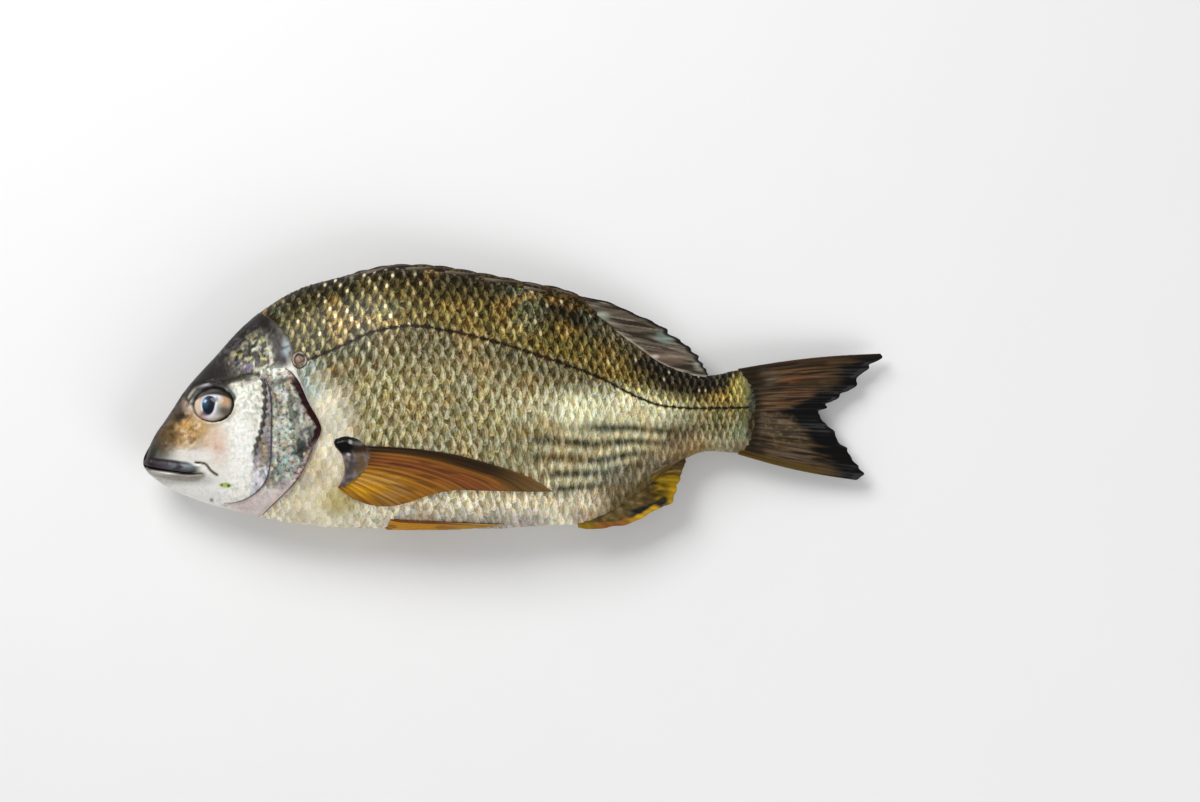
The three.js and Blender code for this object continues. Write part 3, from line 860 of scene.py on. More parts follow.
class Value:
    """A socket of a shader that takes part in sums."""

    def __init__(self, shader, socket):
        self.shader = shader
        self.socket = socket

    def _sum(self, operation, *others):
        inputs = dict(enumerate([self, *others]))
        return self.shader.add("ShaderNodeMath", {"operation": operation}, inputs).out()

    def __add__(self, other):
        return self._sum("ADD", other)

    def __mul__(self, other):
        return self._sum("MULTIPLY", other)

    def __sub__(self, other):
        return self._sum("SUBTRACT", other)

    def __rsub__(self, other):
        return (self * -1) + other

    def __abs__(self):
        return self._sum("ABSOLUTE")

    __radd__ = __add__
    __rmul__ = __mul__

    def between(self, low, high, bottom=0.0, top=1.0):
        """Runs smoothly from bottom to top as the value goes from low to high."""
        inputs = {"Value": self, "From Min": low, "From Max": high, "To Min": bottom, "To Max": top}
        settings = {"interpolation_type": "SMOOTHSTEP"}
        return self.shader.add("ShaderNodeMapRange", settings, inputs).out()


class Node:
    """One node of a shader, with its outputs."""

    def __init__(self, shader, node):
        self.shader = shader
        self.node = node

    def out(self, name=0):
        return Value(self.shader, self.node.outputs[name])


class Shader:
    """Builds one material out of values."""

    def __init__(self, name):
        self.material = bpy.data.materials.new(name)
        self.material.use_nodes = True
        self.tree = self.material.node_tree
        self.tree.nodes.clear()

    def add(self, kind, settings=None, inputs=None):
        node = self.tree.nodes.new(kind)
        for key, value in (settings or {}).items():
            setattr(node, key, value)
        for key, value in (inputs or {}).items():
            if isinstance(value, Value):
                self.tree.links.new(value.socket, node.inputs[key])
            else:
                node.inputs[key].default_value = value
        return Node(self, node)

    def attribute(self, name):
        return self.add("ShaderNodeAttribute", {"attribute_name": name}).out("Fac")

    def paint(self):
        return self.add("ShaderNodeAttribute", {"attribute_name": "Paint"}).out("Color")

    def mix(self, amount, a, b, blend="MIX"):
        settings = {"data_type": "RGBA", "blend_type": blend}
        node = self.add("ShaderNodeMix", settings, {0: amount})
        for key, value in ((6, a), (7, b)):
            if isinstance(value, Value):
                self.tree.links.new(value.socket, node.node.inputs[key])
            else:
                node.node.inputs[key].default_value = (*value, 1)
        return node.out(2)

    def place(self, scale=(1, 1, 1)):
        """Object coordinates in millimetres, stretched by scale."""
        where = self.add("ShaderNodeTexCoord").out("Object")
        inputs = {0: where, 1: tuple(1000 * s for s in scale)}
        return self.add("ShaderNodeVectorMath", {"operation": "MULTIPLY"}, inputs).out()

    def vector(self, x, y, z):
        return self.add("ShaderNodeCombineXYZ", {}, {"X": x, "Y": y, "Z": z}).out()

    def noise(self, size, detail=2.0, roughness=0.5, stretch=(1, 1, 1), where=None):
        """Noise from 0 to 1 whose features measure about size millimetres."""
        where = where or self.place(stretch)
        inputs = {"Vector": where, "Scale": 1 / size, "Detail": detail, "Roughness": roughness}
        return self.add("ShaderNodeTexNoise", {}, inputs).out("Fac")

    def tinted(self, colour, tint, amount):
        """The colour multiplied by a tint, as far as amount says."""
        return self.mix(amount, colour, tint, "MULTIPLY")

    def bump(self, height, depth):
        """A bump whose full height stands depth millimetres high."""
        inputs = {"Strength": 1.0, "Distance": depth * MM, "Height": height}
        return self.add("ShaderNodeBump", {}, inputs).out()

    def finish(self, **inputs):
        names = {key.replace("_", " ").title().replace("Ior", "IOR"): value for key, value in inputs.items()}
        surface = self.add("ShaderNodeBsdfPrincipled", {}, names).out()
        self.add("ShaderNodeOutputMaterial", {}, {"Surface": surface})
        return self.material


def scale_finish(settings):
    """Wet scales: painted highlights as bright strokes along each rear edge and as glints, painted shade in
    the pockets, patches of gold, teal and rust.
    """
    s = Shader("scales")
    inset, across, above = s.attribute("Inset"), s.attribute("Across"), s.attribute("Above")
    tint, net = s.attribute("Tint"), s.attribute("Net")
    glint, pore = s.attribute("Glint"), s.attribute("Pore")
    grain = s.noise(0.7, 3, 0.6)
    strokes = s.noise(1.0, 1, 0.5, where=s.vector(inset * 6.2, across * 1.8, tint * 60))
    warm = s.noise(1.9, 1, 0.5)
    cold = s.noise(2.2, 1, 0.5, stretch=(1, 0.8, 1))
    colour = s.paint()
    vivid = net * 0.7 + 0.3
    colour = s.tinted(colour, (1.1, 1.03, 0.56), warm.between(0.5, 0.62) * vivid)
    colour = s.tinted(colour, (0.84, 1.02, 1.1), cold.between(0.52, 0.64) * vivid * 0.8)
    colour = s.tinted(colour, (1.02, 0.86, 0.9), cold.between(0.46, 0.36) * vivid * 0.8)
    speck = s.noise(0.45, 1, 0.5)
    colour = s.tinted(colour, (0.5, 0.48, 0.42), speck.between(0.46, 0.34) * vivid * 0.8)
    # Painted highlight and shade: dark streaks and lightened golden or silvery streaks that follow each
    # scale's rear edge, as wet scales glitter in the light.
    colour = s.tinted(colour, (0.34, 0.31, 0.2), strokes.between(0.5, 0.34) * net)
    golden = s.tinted(colour, (2.15, 2.0, 1.35), 1.0)
    silvery = s.mix(0.3, s.tinted(colour, (1.9, 1.95, 2.1), 1.0), (0.56, 0.54, 0.42))
    lightened = s.mix(above * 0.85, silvery, golden)
    colour = s.mix(strokes.between(0.5, 0.66) * net * 0.85, colour, lightened)
    broken = inset + (grain - 0.5) * 0.6
    # Painted shade in each scale's pocket, under the rear edge of the scale in front of it.
    pocket_shade = (broken + abs(across) * 0.06).between(0.4, 0.68) * net
    colour = s.tinted(colour, (0.24, 0.18, 0.05), pocket_shade * 0.95)
    # Painted highlight: a pale stroke just inside each scale's rear edge, strongest on its upper part.
    lit = abs(across - above * 0.2).between(0.8, 0.3)
    rim = broken.between(0.02, 0.14) * broken.between(0.46, 0.24) * lit * net * tint
    pale = s.mix(0.35, s.tinted(colour, (1.9, 1.95, 2.1), 1.0), (0.72, 0.69, 0.52))
    pale = s.mix(above * 0.7, pale, s.tinted(colour, (2.6, 2.4, 1.5), 1.0))
    colour = s.mix(rim, colour, pale)
    # Painted shade right at each rear edge, where the scale's edge drops onto the next one.
    colour = s.tinted(colour, (0.34, 0.32, 0.27), broken.between(0.07, -0.04) * net)
    # Painted glints: a small round gold or cream highlight on the scales that carry one.
    beside, behind = (across - 0.1) * 3.4, (inset - 0.26) * 6.4
    spot = glint * (beside * beside + behind * behind + (grain - 0.5) * 0.8).between(1.1, 0.35)
    gleam = s.mix(tint, (0.8, 0.55, 0.32), (1.0, 0.93, 0.58))
    colour = s.mix(spot, colour, gleam)
    dash = pore * (abs(across) + grain * 0.6 + abs(inset - 0.5) * 0.3).between(0.68, 0.42)
    pore_colour = s.mix(warm.between(0.45, 0.6), (0.004, 0.003, 0.002), (0.03, 0.014, 0.006))
    colour = s.mix(dash * 0.97, colour, pore_colour)
    height = strokes * 0.6 + grain * 0.4
    return s.finish(
        base_color=colour,
        metallic=(1 - pocket_shade) * 0.1 * settings.silver,
        roughness=grain.between(0.3, 0.7, 0.22, 0.4),
        specular_ior_level=0.1,
        coat_weight=(rim * 1.6 + 0.4) * (1 - dash) * settings.wetness,
        coat_roughness=0.12,
        normal=s.bump(height, 0.06),
    )


def skin_finish(settings):
    """Bare wet skin of the head and the fin bases, with fine mottling."""
    s = Shader("wet_skin")
    grain, mottle = s.noise(0.7, 3, 0.6), s.noise(1.7, 3, 0.55)
    warm = s.noise(1.9, 1, 0.5)
    cold = s.noise(2.3, 1, 0.5, stretch=(1, 0.8, 1))
    rough_skin = s.attribute("Mottle")
    colour = s.paint()
    colour = s.tinted(colour, (1.2, 1.02, 0.7), warm.between(0.5, 0.62) * rough_skin * 0.8)
    colour = s.tinted(colour, (0.82, 0.98, 1.02), cold.between(0.52, 0.64) * rough_skin * 0.8)
    colour = s.tinted(colour, (1.06, 0.86, 0.96), cold.between(0.46, 0.36) * rough_skin * 0.7)
    colour = s.tinted(colour, (0.34, 0.34, 0.3), mottle.between(0.53, 0.64) * rough_skin)
    colour = s.tinted(colour, (1.45, 1.45, 1.45), mottle.between(0.47, 0.38) * rough_skin)
    colour = s.tinted(colour, (0.45, 0.45, 0.41), grain.between(0.55, 0.68) * (rough_skin * 0.8 + 0.1))
    return s.finish(
        base_color=colour,
        metallic=0.12 * settings.silver,
        roughness=grain.between(0.3, 0.7, 0.24, 0.42),
        specular_ior_level=0.15,
        coat_weight=0.7 * settings.wetness,
        coat_roughness=0.1,
        normal=s.bump(grain + mottle * 0.8, 0.09),
    )


def fin_finish(settings):
    """Fin membrane with stiff rays, jointed across."""
    s = Shader("fins")
    ray, along = s.attribute("Ray"), s.attribute("Along")
    grain = s.noise(0.8, 3, 0.6)
    joints = s.add("ShaderNodeMath", {"operation": "SINE"}, {0: along * 420.0}).out()
    paint = s.paint()
    shade = s.tinted(paint, (0.42, 0.4, 0.38), 1.0)
    colour = s.mix((1 - ray) * 0.7, paint, shade)
    colour = s.mix(grain.between(0.5, 0.72) * 0.4, colour, shade)
    return s.finish(
        base_color=colour,
        roughness=grain.between(0.3, 0.7, 0.28, 0.42),
        specular_ior_level=0.14,
        coat_weight=settings.wetness * 0.4,
        coat_roughness=0.15,
        normal=s.bump(grain + joints * ray * 0.25, 0.07),
    )


def spine_finish(settings):
    """Smooth horny spines, dark at their tips."""
    s = Shader("spines")
    grain = s.noise(1.2, 3, 0.6, stretch=(0.2, 1, 1))
    paint = s.paint()
    shade = s.tinted(paint, (0.5, 0.47, 0.44), 1.0)
    colour = s.mix(grain.between(0.4, 0.7) * 0.7, paint, shade)
    return s.finish(
        base_color=colour,
        roughness=0.34,
        specular_ior_level=0.3,
        coat_weight=settings.wetness,
        coat_roughness=0.15,
        normal=s.bump(grain, 0.06),
    )


def eye_finish(settings):
    """The glossy wet eye: silver iris and dark pupil under a clear film."""
    s = Shader("eyeball")
    grain = s.noise(0.6, 3, 0.6)
    paint = s.paint()
    shade = s.tinted(paint, (0.62, 0.58, 0.55), 1.0)
    colour = s.mix(grain.between(0.45, 0.7) * 0.35, paint, shade)
    return s.finish(
        base_color=colour,
        roughness=grain.between(0.3, 0.7, 0.35, 0.5),
        specular_ior_level=0.1,
        coat_weight=1.0,
        coat_roughness=0.02,
        coat_ior=1.35,
    )


def floor_finish(settings):
    s = Shader("floor")
    grain = s.noise(40, 2, 0.5)
    colour = s.mix(grain, tuple(settings.floor_colour), tuple(0.985 * c for c in settings.floor_colour))
    return s.finish(base_color=colour, roughness=0.6)


# Pieces


def plate_lift(x, y):
    """How far the gill cover stands out of the body, as on the solid."""
    fall = 1 - smooth(6, 20, y)
    return 0.1 + 1.4 * smooth(-127, -84, x) * fall


def scaled_from(y):
    """The x behind which the body carries scales."""
    upper = np.array(SCALED_FROM, float)[::-1]
    lower = np.array(COVER_EDGE[5:], float)[::-1]
    ys = np.concatenate([lower[:, 1], upper[:, 1]])
    xs = np.concatenate([lower[:, 0] - 3, upper[:, 0]])
    order = np.argsort(ys)
    return np.interp(y, ys[order], xs[order])


def head_relief(x, y):
    """Folds, lips, pits and the eye's socket on the skin of the head, in millimetres."""
    round_eye = round_eye_at(x, y)
    relief = 0.5 * bell(round_eye - 1.1, 0.12)
    relief -= 5.0 * smooth(1.05, 0.95, round_eye)
    brow, _ = distance_to(BROW_LINE, x, y)
    outside = smooth(0.95, 1.1, round_eye)
    relief += outside * (0.3 * bell(brow, 0.6) - 0.25 * bell(brow - 1.4, 0.6))
    upper, share = distance_to(UPPER_LIP, x, y)
    relief += 0.9 * bell(upper, 1.5) * smooth(1.02, 0.8, share)
    lower, share = distance_to(LOWER_LIP, x, y)
    relief += 0.75 * bell(lower, 1.3) * smooth(1.02, 0.8, share)
    mouth, _ = distance_to(MOUTH_LINE, x, y)
    relief -= 1.3 * bell(mouth, 0.45)
    maxilla, _ = distance_to(MAXILLA_LINE, x, y)
    relief -= 0.5 * bell(maxilla, 0.45)
    relief += 0.35 * patch(x, y, (-131.6, -34.6), (3.4, 2.4), 0.6)
    relief -= 0.7 * patch(x, y, (-142.6, -8.4), (2.2, 0.8), 0.5)
    relief -= 0.6 * patch(x, y, (-140.8, -3.4), (0.9, 1.7), 0.5)
    temple, _ = distance_to(TEMPLE_LINE, x, y)
    relief -= 0.4 * bell(temple, 0.7)
    nape, _ = distance_to(NAPE_LINE, x, y)
    relief -= 0.35 * bell(nape, 2.2)
    broad, fine = Noise(41), Noise(42)
    relief += 0.12 * broad(x, y, 5) + 0.06 * fine(x, y, 1.8)
    small_scales = np.maximum(0, np.cos(x * 2.3) * np.cos(y * 2.1 + np.where(np.cos(x * 2.3) < 0, 1.5, 0)))
    scaled = patch(x, y, (-113, 20), (11, 12), 0.3)
    relief += 0.22 * small_scales * scaled
    return relief - 0.8 * smooth(-156.5, -159.5, x)


def make_skin(settings):
    """The body's skin, fine on the head and plain under the scales."""
    head_end, under_scales = -78.0, 0.5
    head_rings, body_rings, half_ring = 206, 64, 150
    head = SNOUT_X + 0.02 + (head_end - SNOUT_X) * np.linspace(0, 1, head_rings) ** 1.08
    body = np.linspace(head_end, BODY_END_X, body_rings)[1:]
    stations = np.concatenate([head, body])
    turns = np.linspace(0, np.pi, half_ring + 1)
    ring = [(turn, 1) for turn in turns] + [(turn, -1) for turn in turns[-2:0:-1]]
    points = np.zeros((len(stations), len(ring), 3))
    colours = np.zeros((len(stations), len(ring), 3))
    mottle = np.zeros((len(stations), len(ring)))
    for side in (1, -1):
        chosen = [k for k, (_, s) in enumerate(ring) if s == side]
        x = stations[:, None]
        turn = np.array([ring[k][0] for k in chosen])[None, :]
        y, _ = section(x, turn)
        x = np.broadcast_to(x, y.shape)
        bare_fin = behind_sheath(x, y)
        scaled = smooth(-1, 2, x - scaled_from(y)) * (1 - bare_fin)
        off_edge = smooth(0.0, 0.12, np.minimum(turn, np.pi - turn))
        lift = head_relief(x, y) * off_edge * smooth(-80, -90, x) * (1 - scaled)
        points[:, chosen] = skin(x, turn, side, lift - under_scales * scaled)
        coat = head_coat(x, y)
        coat.blend(flank_coat(x, y).colour * UNDER_SCALES_SHADE, scaled)
        yellow_rays(coat, x, y, bare_fin)
        colours[:, chosen] = coat.colour
        mottle[:, chosen] = head_mottle(x, y) * (1 - scaled)
    columns = len(ring)
    faces = grid_faces(len(stations), columns, wrap=True)
    obj = make_mesh("skin", points, faces, {"Mottle": mottle}, colours)
    cap_ends(obj, columns, len(stations))
    return place_piece(obj, skin_finish(settings))


def cap_ends(obj, columns, rows):
    """Closes the first and last ring of a tube with one face each."""
    bm = bmesh.new()
    bm.from_mesh(obj.data)
    bm.verts.ensure_lookup_table()
    bm.faces.new([bm.verts[k] for k in range(columns)][::-1])
    bm.faces.new([bm.verts[(rows - 1) * columns + k] for k in range(columns)])
    bmesh.ops.recalc_face_normals(bm, faces=bm.faces)
    bm.to_mesh(obj.data)
    bm.free()


def row_arc(x, row):
    """Where a row of scales runs, as length from the belly; rows below the line widen to the rear."""
    below = np.maximum(-row, 0)
    widening = np.where(below < 6, 0.03 * below**2, 0.36 * below - 1.08)
    return ARCS.line_at(x) + spacing_at(x) * (row - widening * smooth(-25, 15, x))


def make_scales(settings, name, side):
    """Overlapping scales in staggered rows that follow the lateral line."""
    fine_x = np.linspace(FIRST_SCALE_X, BODY_END_X, 800)
    count = np.concatenate([[0], np.cumsum(np.diff(fine_x) / pitch_at(fine_x[1:]))])
    rng = np.random.default_rng(SCALE_SEEDS[name])
    xs, rows = [], []
    for row in range(LOWEST_ROW, HIGHEST_ROW + 1):
        places = np.arange(0, count[-1]) + 0.5 * (row % 2)
        x = np.interp(places, count, fine_x)
        x = x + rng.uniform(-0.09, 0.09, len(x)) * pitch_at(x)
        arc = row_arc(x, row)
        y, _ = section(x, ARCS.turn(x, arc))
        kept = (arc > -0.2 * spacing_at(x)) & (arc < ARCS.total(x) + 0.2 * spacing_at(x))
        kept &= (x > scaled_from(y)) & (x < LAST_SCALE_X) & (behind_sheath(x, y) < 0.5)
        xs.append(x[kept])
        rows.append(np.full(kept.sum(), row))
    x, row = np.concatenate(xs), np.concatenate(rows).astype(float)
    total = len(x)
    pitch = pitch_at(x)
    along_steps, across_steps = 7, 11
    v = np.linspace(-1, 1, across_steps)[None, None, :]
    t = np.linspace(0, 1, along_steps)[None, :, None]
    long = 1 + rng.uniform(-0.06, 0.06, total)[:, None, None]
    rear = (0.05 + 0.5 * np.sqrt(1 - (0.97 * v) ** 2)) * long
    front = SCALE_FRONT
    reach = front + (rear - front) * t
    px = x[:, None, None] + reach * pitch[:, None, None]
    row_place = row[:, None, None] + 0.86 * v + rng.uniform(-0.04, 0.04, total)[:, None, None]
    turn = ARCS.turn(px, row_arc(px, row_place))
    centre_y, _ = section(x, ARCS.turn(x, row_arc(x, row)))
    height = (centre_y - belly_at(x)) / np.maximum(back_at(x) - belly_at(x), 1)
    calm = patch(x, centre_y, (-84, -26), (20, 36), 0.4)
    calm = np.maximum(calm, smooth(93, 102, x))
    striped = patch(x, centre_y, (46, -26), (46, 16), 0.5)
    relief = settings.scale_relief * (0.85 - 0.5 * calm - 0.2 * striped)[:, None, None]
    rise = (reach - front) / (SCALE_REAR - front)
    proud = rng.uniform(-0.05, 0.05, total)[:, None, None]
    lift = -0.42 + relief * rise + proud * rise - 0.1 * v**2
    lift = lift - 0.12 * bell(v, 0.16) * (row == 0)[:, None, None]
    top = skin(px, turn, side, lift)
    drop = skin(px[:, -1], turn[:, -1], side, lift[:, -1] - 0.35)
    y, _ = section(px, turn)

    quads = grid_faces(along_steps, across_steps, flip=side < 0)
    first_drop = along_steps * across_steps
    edge = first_drop + np.arange(across_steps)
    low = edge + across_steps
    wall = np.stack([edge[:-1], low[:-1], low[1:], edge[1:]], -1)
    quads = np.concatenate([quads, wall[:, ::-1] if side < 0 else wall])
    each = along_steps * across_steps + 2 * across_steps
    faces = (quads[None] + (np.arange(total) * each)[:, None, None]).reshape(-1, 4)

    def spread(values):
        """One value for each scale, or one for each of its points, laid out as the mesh is."""
        full = np.broadcast_to(values, (total, along_steps, across_steps))
        rear_row = full[:, -1]
        return np.concatenate([full.reshape(total, -1), rear_row, rear_row], 1)

    points = np.concatenate([top.reshape(total, -1, 3), top[:, -1], drop], 1)
    colour = flank_coat(px, y).colour * (1 + rng.uniform(-0.16, 0.16, total))[:, None, None, None]
    # The rear wall under each scale's edge gets a darker copy of its colour: painted shade.
    colour = np.concatenate([colour.reshape(total, -1, 3), colour[:, -1], colour[:, -1] * 0.4], 1)
    above = smooth(-3, 3, centre_y - line_y_at(x))
    # The painted sheen's patch on the mid flank: the scales' contrast is lowered there.
    silver = patch(x, centre_y, (42, -8), (36, 9), 0.6)
    net = (0.8 + 0.2 * above) * (0.45 + 0.55 * smooth(0.02, 0.2, height))
    net *= (1 - 0.35 * silver) * (1 - 0.75 * calm) * (1 - 0.35 * striped)
    # Painted glints: which scales carry a small gold highlight, mostly on the front of the back.
    glints = (rng.uniform(0, 1, total) < 0.62) * rng.uniform(0.15, 1, total)
    glints *= patch(x, centre_y, (-66, 38), (34, 20), 0.4)
    glints += 0.5 * (rng.uniform(0, 1, total) < 0.1) * above

    def each_scale(values):
        return np.repeat(np.asarray(values, float)[:, None], each, 1)

    attributes = {
        "Inset": spread(rear - reach),
        "Across": spread(v),
        "Tint": each_scale(0.25 + 0.75 * rng.uniform(0, 1, total)),
        "Net": each_scale(net),
        "Above": each_scale(above),
        "Glint": each_scale(np.clip(glints, 0, 1)),
        "Pore": each_scale((row == 0) & (x < LAST_PORE_X)),
    }
    obj = make_mesh(f"scales_{name}", points, faces, attributes, colour)
    return place_piece(obj, scale_finish(settings))


def make_flap(settings, name, side, edge, inner, lift, coat, mottle, rows, columns):
    """A thin plate of the head: fixed along its inner line, free along its edge."""
    share = np.linspace(0, 1, columns)[None, :]
    v = np.linspace(0, 1, rows)[:, None] ** 1.6
    outline, root = path(edge)(share[0])[None], path(inner)(share[0])[None]
    xy = outline + (root - outline) * v[..., None]
    x, y = xy[..., 0], xy[..., 1]
    height = lift(x, y, v, share)
    rounding = 0.3 * smooth(0.05, 0.0, v)
    top = skin(x, turn_of(x, y), side, height - rounding)
    under = skin(x[:1], turn_of(x[:1], y[:1]), side, height[:1] - rounding[:1] - 0.7)
    inward = x[:1] - 0.5
    tucked = skin(inward, turn_of(inward, y[:1]), side, np.full(x[:1].shape, -0.6))
    points = np.concatenate([tucked, under, top[:1], top])
    colour = coat(x, y).colour
    # The tucked and under rows get darker copies of the edge's colour: painted shade beneath the plate's free
    # edge.
    colour = np.concatenate([colour[:1] * 0.25, colour[:1] * 0.35, colour[:1], colour])
    faces = np.concatenate(
        [
            grid_faces(3, columns, flip=side > 0),
            grid_faces(rows, columns, 3 * columns, flip=side > 0),
        ]
    )
    amount = np.broadcast_to(mottle(x, y), x.shape)
    amount = np.concatenate([amount[:1]] * 3 + [amount])
    obj = make_mesh(name, points, faces, {"Mottle": amount}, colour)
    return place_piece(obj, skin_finish(settings))


def make_head_plates(settings):
    """Gill cover and cheek plate on each side."""

    def cover_lift(x, y, v, share):
        ends = smooth(0, 0.07, share) * smooth(1, 0.93, share)
        rough = 0.1 * Noise(51)(x, y, 2.6)
        return (plate_lift(x, y) + rough) * ends * (1 - 0.3 * smooth(0.5, 1, v)) + 0.02

    def cheek_lift(x, y, v, share):
        ends = smooth(0, 0.08, share) * smooth(1, 0.92, share)
        groove, _ = distance_to(CHEEK_GROOVE, x, y)
        full = plate_lift(x, y) + 0.7
        rough = 0.08 * Noise(52)(x, y, 2.2) + 0.05 * Noise(53)(x, y, 1.2)
        fade = 1 - smooth(0.15, 1, v)
        return (full * fade + rough - 0.4 * bell(groove, 0.6) * fade) * ends - 0.12 * smooth(0.9, 1, v)

    for name, side in SIDES.items():
        cover = (COVER_EDGE, COVER_INNER, cover_lift, cover_coat, cover_mottle)
        cheek = (CHEEK_EDGE, CHEEK_INNER, cheek_lift, cheek_coat, cheek_mottle)
        make_flap(settings, f"gill_cover_{name}", side, *cover, 70, 130)
        make_flap(settings, f"cheek_plate_{name}", side, *cheek, 60, 130)


def eye_frame(side):
    """Centre of an eyeball and its axes: along the head, up it, and out of it."""
    x, y = EYE_CENTRE
    reach = EYE_HALF[1]

    def depth(px, py):
        _, half = section(px, turn_of(px, py))
        return middle_at(px) + side * half

    slope_x = (depth(x + reach, y) - depth(x - reach, y)) / (2 * reach)
    slope_y = (depth(x, y + reach) - depth(x, y - reach)) / (2 * reach)
    outward = Vector((-slope_x, -slope_y, 1)).normalized() * side
    turn = Vector((0, 0, side)).rotation_difference(outward)
    centre = Vector((x, y, float(depth(x, y)))) - outward * EYE_SUNK
    return centre, turn @ Vector((1, 0, 0)), turn @ Vector((0, 1, 0)), outward


def eye_dome(side, rings, spokes, half, shape):
    """A dome about the eye's axis; shape(a, b, r) is its height at (a, b) millimetres."""
    centre, along, up, outward = (np.array(v) for v in eye_frame(side))
    r = np.linspace(0.001, 1, rings)[:, None]
    turn = np.linspace(0, 2 * np.pi, spokes, endpoint=False)[None, :]
    a, b = half[0] * r * np.cos(turn), half[1] * r * np.sin(turn)
    out = shape(a, b, np.broadcast_to(r, a.shape))
    points = centre + a[..., None] * along + b[..., None] * up + out[..., None] * outward
    return points, a, b


def egg(a, b):
    """Distance from the pupil's middle in its own sizes: upright, with a point at its upper right."""
    u, v = (a - PUPIL_CENTRE[0]) / PUPIL_HALF[0], (b - PUPIL_CENTRE[1]) / PUPIL_HALF[1]
    corner = 0.32 * np.exp(-(((u - 0.95) / 0.5) ** 2) - ((v - 0.55) / 0.4) ** 2)
    return np.hypot(u, v) - corner


def iris_coat(a, b):
    r = np.hypot(a / EYE_OPENING[0], b / EYE_OPENING[1])
    pupil = egg(a, b)
    rim = smooth(0.8, 0.97, r)
    coat = Coat(a, b, (186, 176, 166))
    coat.spot((222, 202, 172), 0.9, (-6.9, -0.8), (1.8, 4.4), 0.6)
    coat.spot((196, 160, 128), 0.8, (-4.8, 3.2), (2.6, 1.2), 0.7)
    coat.spot((206, 176, 172), 0.85, (-3.6, -5.4), (3.0, 1.3), 0.7)
    coat.spot((190, 120, 126), 0.8, (-5.2, -4.6), (1.1, 0.7), 0.6)
    coat.spot((206, 200, 190), 0.85, (1.0, -5.6), (3.0, 1.0), 0.7)
    coat.spot((160, 162, 152), 0.8, (3.6, -2.2), (1.6, 3.2), 0.7)
    coat.spot((190, 148, 100), 0.92, (6.0, 1.2), (1.7, 2.6), 0.7)
    coat.wash((108, 92, 62), 0.9 * rim * smooth(0, 3, a))
    coat.spot((80, 66, 58), 0.9, (5.9, -3.2), (2.3, 1.9), 0.7)
    halo = smooth(1.62, 1.3, pupil) * smooth(4.6, 3.6, b)
    coat.wash((232, 228, 240), 0.85 * halo)
    coat.spot((208, 214, 232), 0.9, (1.6, 3.0), (1.8, 1.4), 0.7)
    # Painted shadow: a dark band along the top of the eye, under the rim of its socket.
    coat.wash((34, 27, 20), 0.97 * smooth(3.4, 4.6, b + 0.03 * a * a))
    coat.spot((96, 84, 80), 0.6, (0, 6.4), (3, 0.6), 0.7)
    coat.wash((34, 28, 20), smooth(0.93, 0.985, r) * (0.45 + 0.55 * smooth(-5, 0, a - 0.4 * b)))
    coat.spot((62, 76, 92), 0.9, (2.2, 1.6), (0.9, 1.1), 0.6)
    coat.spot((70, 48, 42), 0.9, (-2.6, -3.8), (2.2, 1.3), 0.5)
    coat.wash((40, 52, 70), smooth(1.16, 1.02, pupil))
    coat.wash((3, 12, 26), smooth(1.04, 0.88, pupil))
    # Painted reflection: a bluish glow and a pale catch-light at the pupil's upper left.
    catchlight_glow = patch(a, b, (-2.9, 0.9), (1.5, 2.2), 0.9)
    coat.wash((56, 96, 128), 0.75 * catchlight_glow)
    coat.spot((150, 186, 206), 0.9, (-3.1, 1.2), (0.75, 0.8), 0.7)
    return coat


def make_eyes(settings):
    """Eyeballs that bulge a little over the pupil, with a groove where the clear front begins."""
    ball = eye_finish(settings)
    for name, side in SIDES.items():

        def bulge(a, b, r):
            dome = EYE_HALF[2] * np.sqrt(np.maximum(0, 1 - r**2))
            opening = np.hypot(a / EYE_OPENING[0], b / EYE_OPENING[1])
            return dome - 0.12 * bell(opening - 0.9, 0.06) - 0.1 * smooth(0.5, 0.9, opening)

        points, a, b = eye_dome(side, 60, 96, EYE_HALF, bulge)
        colour = iris_coat(a, b).colour
        faces = grid_faces(*a.shape, flip=side < 0, wrap=True)
        obj = make_mesh(f"eyeball_{name}", points, faces, colour=colour)
        place_piece(obj, ball, (f"eye_{name}",))


def make_ring_spot(settings):
    """The small round mark where the lateral line starts, on the shown side."""
    centre, radius = (-91.9, 15.8), 3.2
    rows, columns = 26, 48
    fine = Noise(84)
    r = np.linspace(0.01, 1.25, rows)[:, None]
    turn = np.linspace(0, 2 * np.pi, columns, endpoint=False)[None, :]
    x, y = centre[0] + radius * r * np.cos(turn), centre[1] + 1.1 * radius * r * np.sin(turn)
    lift = 0.1 + 0.22 * bell(r - 0.85, 0.12) - 0.08 * bell(r - 0.5, 0.16) - 0.8 * smooth(1.02, 1.25, r)
    points = skin(x, turn_of(x, y), 1, np.broadcast_to(lift, x.shape))
    coat = Coat(x, y, (116, 106, 86))
    coat.wash((70, 52, 40), 0.9 * smooth(-0.1, 0.4, fine(x, y, 1.3)))
    coat.spot((150, 96, 84), 0.7, (-92.5, 15.2), (1.2, 1.1), 0.7)
    coat.wash((60, 50, 42), 0.8 * bell(r - 0.62, 0.12))
    coat.wash((176, 162, 156), 0.9 * bell(r - 0.86, 0.1) * smooth(-0.7, 0.2, fine(x, y, 2)))
    coat.wash((90, 82, 66), smooth(0.96, 1.1, r))
    faces = grid_faces(rows, columns, wrap=True)
    obj = make_mesh("ring_spot", points, faces, {"Mottle": np.full(x.shape, 0.5)}, coat.colour)
    return place_piece(obj, skin_finish(settings))


